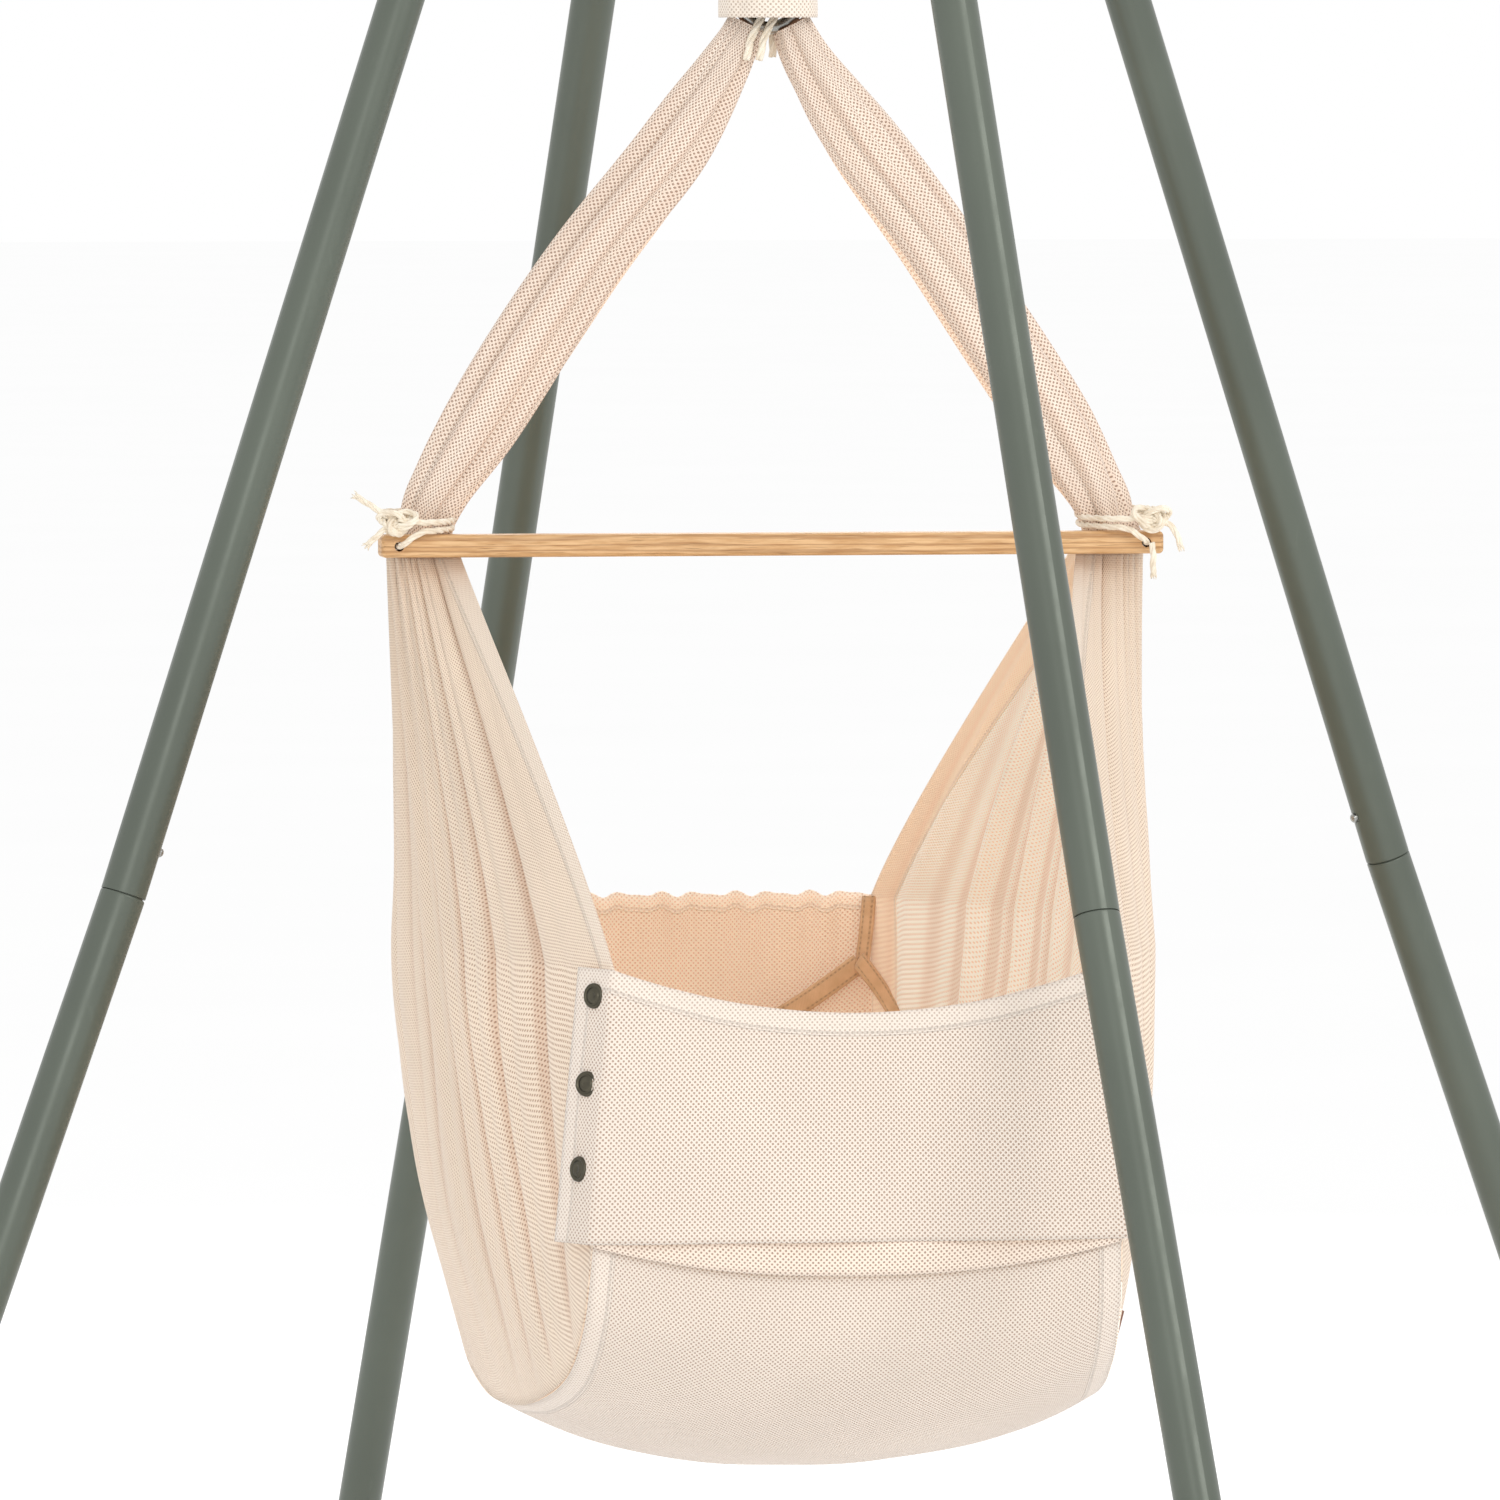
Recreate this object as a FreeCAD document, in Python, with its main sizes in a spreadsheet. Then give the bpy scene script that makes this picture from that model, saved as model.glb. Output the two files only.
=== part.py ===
import FreeCAD, Part
# Baby hammock swing: a cloth cradle hung by a spring in a four-legged tube stand.
#
# Frame: +Z up, the floor at Z = 0, the stand's centre on the Z axis.  The wooden spreader
# bar lies along X and the foot end of the cradle, with its buttoned flap, faces -Y.
# All lengths are in millimetres and all angles in degrees.
import math
import os

import Sketcher
from FreeCAD import Placement, Rotation, Vector

UP = Vector(0, 0, 1)
ALONG_X = Vector(1, 0, 0)
ALONG_Y = Vector(0, 1, 0)
LEGS = (1, 2, 3, 4)
SIDES = (("left", -1), ("right", 1))

DIMENSIONS = [
    # the stand
    ("apexHeight", 1921, "height at which the four leg axes would meet"),
    ("legTilt", 19.0, "slope of the upper and middle tubes, from vertical"),
    ("footTilt", 20.8, "slope of the lower tubes, from vertical"),
    ("firstLegAzimuth", 17.8, "direction of leg 1 in plan, from +X"),
    ("upperJointHeight", 1285, "height of the joint between upper and middle tubes"),
    ("lowerJointHeight", 648, "height of the joint between middle and lower tubes"),
    ("tubeOuter", 28, "outer diameter of the leg tubes"),
    ("tubeBore", 25, "bore of the leg tubes"),
    ("neckOuter", 24.9, "outer diameter of the swaged neck"),
    ("neckBore", 22, "bore of the swaged neck"),
    ("neckLength", 55, "length of the swaged neck"),
    ("shoulderLength", 4, "length of the rounded shoulder below the neck"),
    ("shoulderBore", 23, "bore of the shoulder"),
    ("shoulderRound", 1.4, "rounding of the shoulder"),
    ("jointGap", 0.5, "gap between one tube's end and the next one's shoulder"),
    ("tubeTopSetback", 76, "distance from the apex to the top of an upper tube"),
    ("footAxisHeight", 11, "height of a lower tube's end, on its axis"),
    ("footOuter", 34, "outer diameter of a rubber foot"),
    ("footGrip", 26, "length of tube that a rubber foot covers"),
    ("footReach", 30, "length of the foot's blank below the tube's end"),
    # the snap buttons in the tube joints
    ("buttonAbove", 31, "distance of a button above its joint"),
    ("buttonOuter", 6, "diameter of a button"),
    ("buttonHole", 6.2, "diameter of the holes that a button stands in"),
    ("buttonTip", 17, "distance of a button's tip from its tube's axis"),
    ("buttonFlangeOuter", 9, "diameter of the flange that keeps a button in"),
    ("buttonFlangeBase", 8.1, "distance of the flange's inner face from the tube's axis"),
    ("buttonFlangeThick", 1.2, "thickness of the flange"),
    ("buttonRound", 2.2, "rounding of a button's tip"),
    ("leafWidth", 8.4, "width of the spring leaf behind a button"),
    ("leafThick", 0.6, "thickness of the spring leaf"),
    # the hub
    ("hubTop", 1880, "top face of the hub"),
    ("hubBottom", 1838, "bottom face of the hub"),
    ("hubOuter", 60, "diameter of the hub's core"),
    ("socketOuter", 35, "outer diameter of a leg socket"),
    ("socketBore", 28.1, "bore of a leg socket"),
    ("socketStart", 55, "distance from the apex to a socket's upper end"),
    ("socketEnd", 140, "distance from the apex to a socket's mouth"),
    ("socketBolt", 6, "diameter of the bolt that holds a tube in its socket"),
    ("socketBoltAt", 112, "distance from the apex to the socket bolt"),
    ("capOuter", 68, "diameter of the cap on the hub"),
    ("capHigh", 22, "height of the cap"),
    ("capRound", 12, "rounding of the cap's top edge"),
    ("capRecess", 30, "diameter of the recess under the cap"),
    ("eyeShank", 10, "diameter of the eye bolt's shank"),
    ("eyeWire", 8, "thickness of the eye bolt's ring"),
    ("eyeRing", 26, "diameter of the eye bolt's ring, on the middle of its wire"),
    ("eyeHeight", 1816, "height of the middle of the eye bolt's ring"),
    ("nutHigh", 8, "height of the eye bolt's nut"),
    ("nutAcross", 17, "nut size across its flats"),
    # the hanging gear
    ("linkPlay", 0.1, "clearance between two links that hang in each other"),
    ("upperHookWire", 7, "thickness of the upper carabiner"),
    ("upperHookHigh", 66, "height of the upper carabiner, on the middle of its wire"),
    ("upperHookWide", 32, "width of the upper carabiner, on the middle of its wire"),
    ("lowerHookWire", 8, "thickness of the lower carabiner"),
    ("lowerHookHigh", 78, "height of the lower carabiner, on the middle of its wire"),
    ("lowerHookWide", 38, "width of the lower carabiner, on the middle of its wire"),
    ("lowerHookBase", 1173.5, "height of the lower carabiner's bottom, on its wire"),
    ("upperHookGate", 28, "length of the upper carabiner's gate above its pin"),
    ("lowerHookGate", 34, "length of the lower carabiner's gate above its pin"),
    ("gatePin", 2, "diameter of a gate's pin"),
    ("swivelWire", 6, "thickness of the swivel's rings"),
    ("swivelRing", 22, "diameter of the swivel's rings, on the middle of their wire"),
    ("swivelCase", 20, "diameter of the swivel's case"),
    ("swivelCaseHigh", 20, "height of the swivel's case"),
    ("swivelStud", 8, "diameter of the swivel's turning stud"),
    ("swivelPlay", 0.05, "radial clearance of the stud in its case"),
    ("coilWire", 4.5, "thickness of the spring's wire"),
    ("coilOuter", 42, "outer diameter of the spring"),
    ("coilTurns", 89, "number of closed turns"),
    ("coilLoop", 28, "diameter of the spring's end loops, on the middle of the wire"),
    ("coverOuter", 62, "outer diameter of the knitted spring cover"),
    ("coverWall", 2.5, "thickness of the spring cover"),
    ("coverBase", 1180, "height of the cover's lower hem"),
    ("coverTop", 1712, "height of the cover's upper hem"),
    ("coverNeck", 37, "outer diameter of the cover where it is drawn in at the top"),
    ("safetyCord", 6, "diameter of the safety cord inside the spring"),
    # the spreader bar and the cords
    ("barLong", 490, "length of the spreader bar"),
    ("barDeep", 22, "depth of the bar, along Y"),
    ("barHigh", 14, "height of the bar"),
    ("barRound", 3, "rounding of the bar's edges"),
    ("barHole", 6, "diameter of the cord holes"),
    ("barHoleInset", 11, "distance of a cord hole from the bar's end"),
    ("barHeight", 854, "height of the bar's middle"),
    ("barFront", -12, "position of the bar's middle along Y"),
    ("lashCord", 4, "diameter of the lashing cord"),
    # the cloth
    ("gatherX", 222, "distance of a gathered bundle from the middle, behind the bar"),
    ("gatherY", 12, "position of a gathered bundle along Y, behind the bar"),
    ("gatherWide", 42, "width of a gathered bundle, behind the bar"),
    ("gatherDeep", 24, "depth of a gathered bundle, behind the bar"),
    ("rimHeight", 612, "height of the four corners of the cradle's rim"),
    ("rimLong", 700, "length of the cradle at its rim"),
    ("rimFront", 146, "half width of the rim at the foot end"),
    ("rimRear", 120, "half width of the rim at the head end"),
    ("rimMiddle", 237, "half width of the rim at the middle"),
    ("creaseHeight", 449, "height of the crease that the front flap turns about"),
    ("clothThick", 3, "thickness of the doubled cloth"),
    ("seamGap", 2.4, "distance that each panel's edge keeps from its seam line"),
    ("flapSag", 27, "drop of the flap's top edge at its middle"),
    ("flapWrap", 31, "width of the strip that the flap turns round each corner"),
    ("flapStandOff", 7.0, "distance of the flap's strip from the side panel behind it"),
    ("snapOuter", 15, "diameter of a snap's cap"),
    ("snapHigh", 2.6, "height of a snap's cap"),
    ("mattressThick", 24, "thickness of the mattress"),
    ("mattressWide", 290, "width of the mattress"),
]

doc = FreeCAD.newDocument("BabyHammock")
sheet = doc.addObject("Spreadsheet::Sheet", "Sizes")
for row, (alias, value, meaning) in enumerate(DIMENSIONS, start=1):
    sheet.set(f"A{row}", meaning)
    sheet.set(f"B{row}", str(value))
    sheet.setAlias(f"B{row}", alias)
doc.recompute()

parts = []


def size(alias):
    """The number in the sheet under this alias."""
    return float(getattr(sheet, alias))


def bind(obj, **formulas):
    """Tie properties to formulas over the sheet; S.name means Sizes.name."""
    for prop, formula in formulas.items():
        obj.setExpression(prop, formula.replace("S.", "Sizes."))
    return obj


def keep(obj, label, placement=None):
    """Name a finished sub-part and put it in its place."""
    obj.Label = label
    if placement is not None:
        obj.Placement = placement
    parts.append(obj)
    return obj


def feature(label, shape):
    """A sub-part whose shape is worked out here from the sheet's numbers."""
    obj = doc.addObject("Part::Feature", label)
    obj.Shape = shape
    return keep(obj, label)


# ---------------------------------------------------------------- body helpers

def new_body(name):
    """An empty PartDesign body."""
    return doc.addObject("PartDesign::Body", name)


def origin_plane(body, role):
    """One of the body's own origin planes."""
    return next(f for f in body.Origin.OriginFeatures if f.Role == role)


def new_sketch(body, name, role, offset=None):
    """A sketch on one of the body's origin planes, moved by an offset if given."""
    sketch = body.newObject("Sketcher::SketchObject", name)
    sketch.AttachmentSupport = [(origin_plane(body, role), "")]
    sketch.MapMode = "FlatFace"
    if offset is not None:
        sketch.AttachmentOffset = offset
    return sketch


def add_circle(sketch, diameter, centre=(0, 0)):
    """A circle whose diameter is bound to a formula."""
    index = sketch.addGeometry(Part.Circle(Vector(*centre, 0), UP, 1), False)
    number = sketch.addConstraint(Sketcher.Constraint("Diameter", index, 2.0))
    sketch.setExpression(f"Constraints[{number}]", diameter.replace("S.", "Sizes."))
    if centre == (0, 0):
        sketch.addConstraint(Sketcher.Constraint("Coincident", index, 3, -1, 1))


def pad(body, name, sketch, length):
    """Pad a sketch along its normal by a formula."""
    result = body.newObject("PartDesign::Pad", name)
    result.Profile = sketch
    bind(result, Length=length)
    sketch.Visibility = False
    return result


def pocket(body, name, sketch, length, backwards=False):
    """Pocket a sketch by a formula, against its normal unless backwards."""
    result = body.newObject("PartDesign::Pocket", name)
    result.Profile = sketch
    result.Reversed = backwards
    bind(result, Length=length)
    return result


def ring_pad(body, name, outer, inner, length, offset):
    """A hollow or solid round pad."""
    sketch = new_sketch(body, name + "Sketch", "XY_Plane", offset)
    add_circle(sketch, outer)
    if inner:
        add_circle(sketch, inner)
    return pad(body, name, sketch, length)


def lift(height, turn=None):
    """An offset along a sketch's normal, with an optional turn."""
    return Placement(Vector(0, 0, height), turn or Rotation())


# ---------------------------------------------------------------- where the legs stand

def azimuth(leg):
    """Direction of a leg in plan."""
    return size("firstLegAzimuth") + 90 * (leg - 1)


def leaning(leg, tilt):
    """Turn that lays local Z up along a leg and local X outwards."""
    return Rotation(UP, azimuth(leg)) * Rotation(ALONG_Y, -tilt)


def leg_point(leg, height):
    """Point on a leg's upper axis at a height."""
    reach = (size("apexHeight") - height) * math.tan(math.radians(size("legTilt")))
    angle = math.radians(azimuth(leg))
    return Vector(reach * math.cos(angle), reach * math.sin(angle), height)


def along_leg(leg, from_apex):
    """Placement on a leg's upper axis, at a distance from the apex."""
    turn = leaning(leg, size("legTilt"))
    return Placement(Vector(0, 0, size("apexHeight")) - turn.multVec(UP) * from_apex, turn)


middle_length = (size("upperJointHeight") - size("lowerJointHeight"))
middle_length /= math.cos(math.radians(size("legTilt")))
lower_length = (size("lowerJointHeight") - size("footAxisHeight"))
lower_length /= math.cos(math.radians(size("footTilt")))
upper_length = (size("apexHeight") - size("upperJointHeight"))
upper_length = upper_length / math.cos(math.radians(size("legTilt"))) - size("tubeTopSetback")


# ---------------------------------------------------------------- leg tubes and feet

def side_hole(body, name, joint, above, diameter, inward=True, bend=None):
    """A hole through one wall of a tube, at a distance above a joint, towards the stand's
    axis or away from it; bend is the turn of the neck that stands on the joint."""
    angle = math.degrees(bend.Angle) if bend is not None else 0
    offset = Placement(Vector(0, joint, 0), Rotation(ALONG_X, angle))
    sketch = new_sketch(body, name + "Sketch", "YZ_Plane", offset)
    add_circle(sketch, diameter, (0, above))
    return pocket(body, name, sketch, "S.tubeOuter", backwards=not inward)


def leg_tube(label, length, placement, neck_turn=None, outer_hole=False, bolt_hole=False):
    """A round tube, with a swaged neck on top if neck_turn is given."""
    body = new_body(label)
    straight = length - (size("shoulderLength") if neck_turn is not None else 0)
    ring_pad(body, label + "Wall", "S.tubeOuter", "S.tubeBore", f"{straight:.4f}", lift(0))
    if neck_turn is not None:
        shoulder = ring_pad(body, label + "Shoulder", "S.tubeOuter", "S.shoulderBore",
                            "S.shoulderLength", lift(straight))
        doc.recompute()
        rounded = body.newObject("PartDesign::Fillet", label + "Round")
        rounded.Base = (shoulder, [outer_edge(shoulder.Shape, size("tubeOuter"), length)])
        bind(rounded, Radius="S.shoulderRound")
        joint = length + size("jointGap")
        root = size("jointGap") + size("shoulderLength") / 2
        ring_pad(body, label + "Neck", "S.neckOuter", "S.neckBore",
                 "S.neckLength + S.jointGap + S.shoulderLength / 2",
                 lift(joint, neck_turn) * lift(-root))
        side_hole(body, label + "NeckHole", joint, size("buttonAbove"), "S.buttonHole",
                  bend=neck_turn)
    if outer_hole:
        side_hole(body, label + "Hole", 0, size("buttonAbove"), "S.buttonHole")
    if bolt_hole:
        below_top = size("tubeTopSetback") - size("socketBoltAt")
        side_hole(body, label + "BoltHole", length, below_top, "S.socketBolt + 0.2",
                  inward=False)
    return keep(body, label, placement)


def outer_edge(shape, diameter, height):
    """Name of the full circle of a diameter at a height."""
    for number, edge in enumerate(shape.Edges, start=1):
        curve = edge.Curve
        if isinstance(curve, Part.Circle) and abs(curve.Radius - diameter / 2) < 0.01:
            if abs(curve.Center.z - height) < 0.01:
                return f"Edge{number}"
    raise ValueError(f"no edge of diameter {diameter} at {height}")


def foot(leg, placement):
    """A rubber foot: a cup along the tube, cut level where it meets the floor."""
    label = f"rubber_foot_{leg}"
    blank = bind(doc.addObject("Part::Cylinder", label + "Blank"),
                 Radius="S.footOuter / 2", Height="S.footGrip + S.footReach")
    blank.Placement = placement * Placement(Vector(0, 0, -size("footReach")), Rotation())
    cup = bind(doc.addObject("Part::Cylinder", label + "Cup"),
               Radius="S.tubeOuter / 2", Height="S.footGrip + 10")
    cup.Placement = placement
    below = bind(doc.addObject("Part::Box", label + "Below"),
                 Length="S.footOuter * 4", Width="S.footOuter * 4", Height="S.footReach * 2")
    half = size("footOuter") * 2
    below.Placement.Base = Vector(placement.Base.x - half, placement.Base.y - half,
                                  -size("footReach") * 2)
    hollow = doc.addObject("Part::Cut", label + "Hollow")
    hollow.Base = blank
    hollow.Tool = cup
    flat = doc.addObject("Part::Cut", label)
    flat.Base = hollow
    flat.Tool = below
    keep(flat, label)


def snap_button(label, placement):
    """A round button with a flange, its own Z pointing out of the tube."""
    body = new_body(label)
    ring_pad(body, label + "Flange", "S.buttonFlangeOuter", None, "S.buttonFlangeThick",
             lift(size("buttonFlangeBase")))
    shank = ring_pad(body, label + "Shank", "S.buttonOuter", None,
                     "S.buttonTip - S.buttonFlangeBase", lift(size("buttonFlangeBase")))
    doc.recompute()
    dome = body.newObject("PartDesign::Fillet", label + "Dome")
    dome.Base = (shank, [outer_edge(shank.Shape, size("buttonOuter"), size("buttonTip"))])
    bind(dome, Radius="S.buttonRound")
    keep(body, label, placement)


def button_leaf(placement):
    """A folded spring leaf: one arm on the tube's far wall, one round the button's shank."""
    top = size("buttonFlangeBase") + size("buttonFlangeThick") + 0.1 + size("leafThick")
    far = -size("neckBore") / 2 + 1.1
    thick = size("leafThick")
    reach = 6.0
    fold = -33.0
    outline = [(top, reach), (top, -reach), (far + 1.3, fold), (far, fold + 2), (far, 4),
               (far + thick, 4), (far + thick, fold + 2.4), (far + 1.3, fold + 1.1),
               (top - thick, -reach + 0.3), (top - thick, reach)]
    half = size("leafWidth") / 2
    points = [Vector(x, -half, z) for x, z in outline]
    strip = Part.Face(Part.makePolygon(points + points[:1])).extrude(ALONG_Y * half * 2)
    hole = Part.makeCylinder(size("buttonHole") / 2, 4 * thick,
                             Vector(top - 2 * thick, 0, 0), ALONG_X)
    strip = strip.cut(hole)
    # the outline's +X is the button's side, which faces the stand's axis
    strip.Placement = placement * Placement(Vector(), Rotation(UP, 180))
    return strip


def build_legs():
    """Four legs of three tubes, their feet and the snap buttons in their joints."""
    straight = Rotation()
    bend = Rotation(ALONG_Y, size("footTilt") - size("legTilt"))
    leaves = []
    for leg in LEGS:
        upright = leaning(leg, size("legTilt"))
        upper_joint = Placement(leg_point(leg, size("upperJointHeight")), upright)
        lower_joint = Placement(leg_point(leg, size("lowerJointHeight")), upright)
        splayed = leaning(leg, size("footTilt"))
        foot_end = Placement(lower_joint.Base - splayed.multVec(UP) * lower_length, splayed)
        gap = size("jointGap")
        leg_tube(f"leg_upper_tube_{leg}", upper_length, upper_joint,
                 outer_hole=True, bolt_hole=True)
        leg_tube(f"leg_middle_tube_{leg}", middle_length - gap, lower_joint,
                 neck_turn=straight, outer_hole=True)
        leg_tube(f"leg_lower_tube_{leg}", lower_length - gap, foot_end, neck_turn=bend)
        foot(leg, foot_end)
        for name, joint in (("upper", upper_joint), ("lower", lower_joint)):
            middle = joint * lift(size("buttonAbove"))
            snap_button(f"{name}_snap_button_{leg}",
                        middle * Placement(Vector(), Rotation(ALONG_Y, -90)))
            leaves.append(button_leaf(middle))
    feature("button_springs", Part.makeCompound(leaves))


# ---------------------------------------------------------------- hub and eye bolt

def cylinder(name, radius, height, placement):
    """A Part cylinder with its sizes bound to formulas."""
    obj = bind(doc.addObject("Part::Cylinder", name), Radius=radius, Height=height)
    obj.Placement = placement
    return obj


def fuse(name, shapes):
    """A union of objects."""
    obj = doc.addObject("Part::MultiFuse", name)
    obj.Shapes = shapes
    return obj


def cut(name, base, tool):
    """One object less another."""
    obj = doc.addObject("Part::Cut", name)
    obj.Base = base
    obj.Tool = tool
    return obj


def level(height):
    """A placement on the Z axis."""
    return Placement(Vector(0, 0, height), Rotation())


def build_hub():
    """The hub with four leg sockets, its cap, the socket bolts and the eye bolt."""
    solids = [cylinder("HubCore", "S.hubOuter / 2", "S.hubTop - S.hubBottom",
                       level(size("hubBottom")))]
    hollows = [cylinder("HubBoltHole", "S.eyeShank / 2 + 0.05", "S.hubTop - S.hubBottom + 2",
                        level(size("hubBottom") - 1))]
    bolts = []
    for leg in LEGS:
        mouth = along_leg(leg, size("socketEnd"))
        solids.append(cylinder(f"Socket{leg}", "S.socketOuter / 2",
                               "S.socketEnd - S.socketStart", mouth))
        hollows.append(cylinder(f"SocketBore{leg}", "S.socketBore / 2",
                                "S.socketEnd - S.tubeTopSetback + 1",
                                along_leg(leg, size("socketEnd") + 1)))
        sideways = along_leg(leg, size("socketBoltAt")) * Placement(
            Vector(size("tubeBore") / 2 - 2, 0, 0), Rotation(ALONG_Y, 90))
        hollows.append(cylinder(f"SocketBoltHole{leg}", "S.socketBolt / 2 + 0.1", "12",
                                sideways))
        bolts += bolt_solids(leg, sideways)
    hub = cut("HubHead", fuse("HubSolid", solids), fuse("HubHollow", hollows))
    keep(hub, "hub_head")
    keep(fuse("SocketBolts", bolts), "socket_bolts")

    cap = new_body("HubCap")
    dome = ring_pad(cap, "CapDisc", "S.capOuter", None, "S.capHigh", lift(0))
    doc.recompute()
    rounding = cap.newObject("PartDesign::Fillet", "CapRounding")
    rounding.Base = (dome, [outer_edge(dome.Shape, size("capOuter"), size("capHigh"))])
    bind(rounding, Radius="S.capRound")
    recess = new_sketch(cap, "CapRecessSketch", "XY_Plane")
    add_circle(recess, "S.capRecess")
    pocket(cap, "CapRecess", recess, "S.capHigh - 4", backwards=True)
    keep(cap, "hub_cap", level(size("hubTop")))

    ring = bind(doc.addObject("Part::Torus", "EyeRing"),
                Radius1="S.eyeRing / 2", Radius2="S.eyeWire / 2")
    ring.Placement = Placement(Vector(0, 0, size("eyeHeight")), Rotation(ALONG_Y, 90))
    collar = cylinder("EyeCollar", "S.eyeShank * 0.9", "4", level(size("hubBottom") - 4))
    shank_foot = size("eyeHeight") + size("eyeRing") / 2 - 2
    shank = cylinder("EyeShank", "S.eyeShank / 2", f"S.hubTop + S.nutHigh + 3 - {shank_foot}",
                     level(shank_foot))
    keep(fuse("EyeBolt", [ring, collar, shank]), "eye_bolt")

    blank = bind(doc.addObject("Part::Prism", "NutBlank"),
                 Circumradius="S.nutAcross / 2 / cos(30)", Height="S.nutHigh")
    blank.Polygon = 6
    blank.Placement = level(size("hubTop"))
    hole = cylinder("NutHole", "S.eyeShank / 2", "S.nutHigh + 2", level(size("hubTop") - 1))
    keep(cut("EyeBoltNut", blank, hole), "eye_bolt_nut")


def bolt_solids(leg, placement):
    """The shank and round head of one socket bolt."""
    seat = size("socketOuter") / 2 - size("tubeBore") / 2 + 2
    shank = cylinder(f"SocketBoltShank{leg}", "S.socketBolt / 2", f"{seat + 1}", placement)
    head = cylinder(f"SocketBoltHead{leg}", "S.socketBolt * 0.85", "3.4",
                    placement * Placement(Vector(0, 0, seat), Rotation()))
    return [shank, head]


# ---------------------------------------------------------------- carabiners and swivel

def half_ring(name, ring, wire, centre, start):
    """Half a torus in the XZ plane."""
    obj = bind(doc.addObject("Part::Torus", name), Radius1=ring, Radius2=wire)
    obj.Angle3 = 180
    obj.Placement = Placement(centre, Rotation(ALONG_X, 90) * Rotation(UP, start))
    return obj


def carabiner(label, prefix, base_height):
    """An oval carabiner in the XZ plane with its gate on the +X side, and its gate and pin."""
    wide = size(prefix + "Wide") / 2
    wire = size(prefix + "Wire") / 2
    low = base_height + wide
    high = base_height + size(prefix + "High") - wide
    gate_long = size(prefix + "Gate")
    pivot = (low + high - gate_long) / 2 - 1
    tip = pivot + gate_long
    ring = f"S.{prefix}Wide / 2"
    thick = f"S.{prefix}Wire / 2"
    lug_top = pivot + 3
    solids = [
        half_ring(label + "Top", ring, thick, Vector(0, 0, high), 0),
        half_ring(label + "Bottom", ring, thick, Vector(0, 0, low), 180),
        cylinder(label + "Spine", thick, f"{high - low}",
                 Placement(Vector(-wide, 0, low), Rotation())),
        cylinder(label + "Nose", thick, f"{high - tip - 0.5}",
                 Placement(Vector(wide, 0, tip + 0.5), Rotation())),
        cylinder(label + "Lug", thick, f"{lug_top - low}",
                 Placement(Vector(wide, 0, low), Rotation())),
    ]
    slot = bind(doc.addObject("Part::Box", label + "Slot"),
                Length=f"S.{prefix}Wire + 2", Width="2.5", Height="9")
    slot.Placement.Base = Vector(wide - wire - 1, -1.25, pivot - 4)
    pin_place = Placement(Vector(wide, -wire, pivot), Rotation(ALONG_X, -90))
    pin_hole = cylinder(label + "PinHole", "S.gatePin / 2", f"S.{prefix}Wire", pin_place)
    body = cut(label + "Body", fuse(label + "Solid", solids),
               fuse(label + "Hollow", [slot, pin_hole]))
    keep(body, label)

    rod_foot = pivot + 4.4
    rod = cylinder(label + "GateRod", f"S.{prefix}Wire / 2 - 0.4", f"{tip - rod_foot}",
                   Placement(Vector(wide, 0, rod_foot), Rotation()))
    tongue = bind(doc.addObject("Part::Box", label + "Tongue"),
                  Length="5", Width="2.2", Height="6")
    tongue.Placement.Base = Vector(wide - 2.5, -1.1, pivot)
    eye = cylinder(label + "TongueEye", "2.5", "2.2",
                   Placement(Vector(wide, -1.1, pivot), Rotation(ALONG_X, -90)))
    bore = cylinder(label + "TongueBore", "S.gatePin / 2 + 0.04", f"S.{prefix}Wire", pin_place)
    gate = cut(label + "Gate", fuse(label + "GateSolid", [rod, tongue, eye]), bore)
    keep(gate, label.replace("carabiner", "gate"))
    keep(cylinder(label + "Pin", "S.gatePin / 2", f"S.{prefix}Wire", pin_place),
         label.replace("carabiner", "gate_pin"))
    return pivot


def ring_solid(name, centre_height, facing):
    """One of the swivel's rings."""
    ring = bind(doc.addObject("Part::Torus", name),
                Radius1="S.swivelRing / 2", Radius2="S.swivelWire / 2")
    ring.Placement = Placement(Vector(0, 0, centre_height), facing)
    return ring


def build_hanging_gear():
    """Upper carabiner, swivel, spring with its cover and safety cord, lower carabiner."""
    play = size("linkPlay")
    eye_bottom = size("eyeHeight") - size("eyeRing") / 2
    hook_top = eye_bottom + size("eyeWire") / 2 + size("upperHookWire") / 2 + play
    hook_base = hook_top - size("upperHookHigh")
    carabiner("upper_carabiner", "upperHook", hook_base)
    carabiner("lower_carabiner", "lowerHook", size("lowerHookBase"))

    facing_x = Rotation(ALONG_Y, 90)
    ring_radius = size("swivelRing") / 2
    ring_wire = size("swivelWire") / 2
    top_ring = hook_base + size("upperHookWire") / 2 + ring_wire + play - ring_radius
    case_top = top_ring - ring_radius + 1
    case_base = case_top - size("swivelCaseHigh")
    case = cut("SwivelCaseHollow",
               fuse("SwivelCaseSolid", [
                   ring_solid("SwivelTopRing", top_ring, facing_x),
                   cylinder("SwivelCase", "S.swivelCase / 2", "S.swivelCaseHigh",
                            level(case_base))]),
               fuse("SwivelCavity", [
                   cylinder("SwivelBore", "S.swivelStud / 2 + S.swivelPlay", "8",
                            level(case_base - 1)),
                   cylinder("SwivelRoom", "S.swivelCase / 2 - 2.5", "8.6",
                            level(case_base + 6))]))
    keep(case, "swivel_case")
    flange_base = case_base - 4
    low_ring = flange_base - ring_radius + 1.5
    stud = fuse("SwivelStudSolid", [
        cylinder("SwivelFlange", "S.swivelCase / 2 - 1", "3.7", level(flange_base)),
        cylinder("SwivelShank", "S.swivelStud / 2", "14", level(flange_base + 1)),
        cylinder("SwivelHead", "S.swivelCase / 2 - 3", "6", level(case_base + 6.4)),
        ring_solid("SwivelLowRing", low_ring, facing_x)])
    keep(stud, "swivel_stud")

    build_spring(low_ring - ring_radius + ring_wire)


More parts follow.
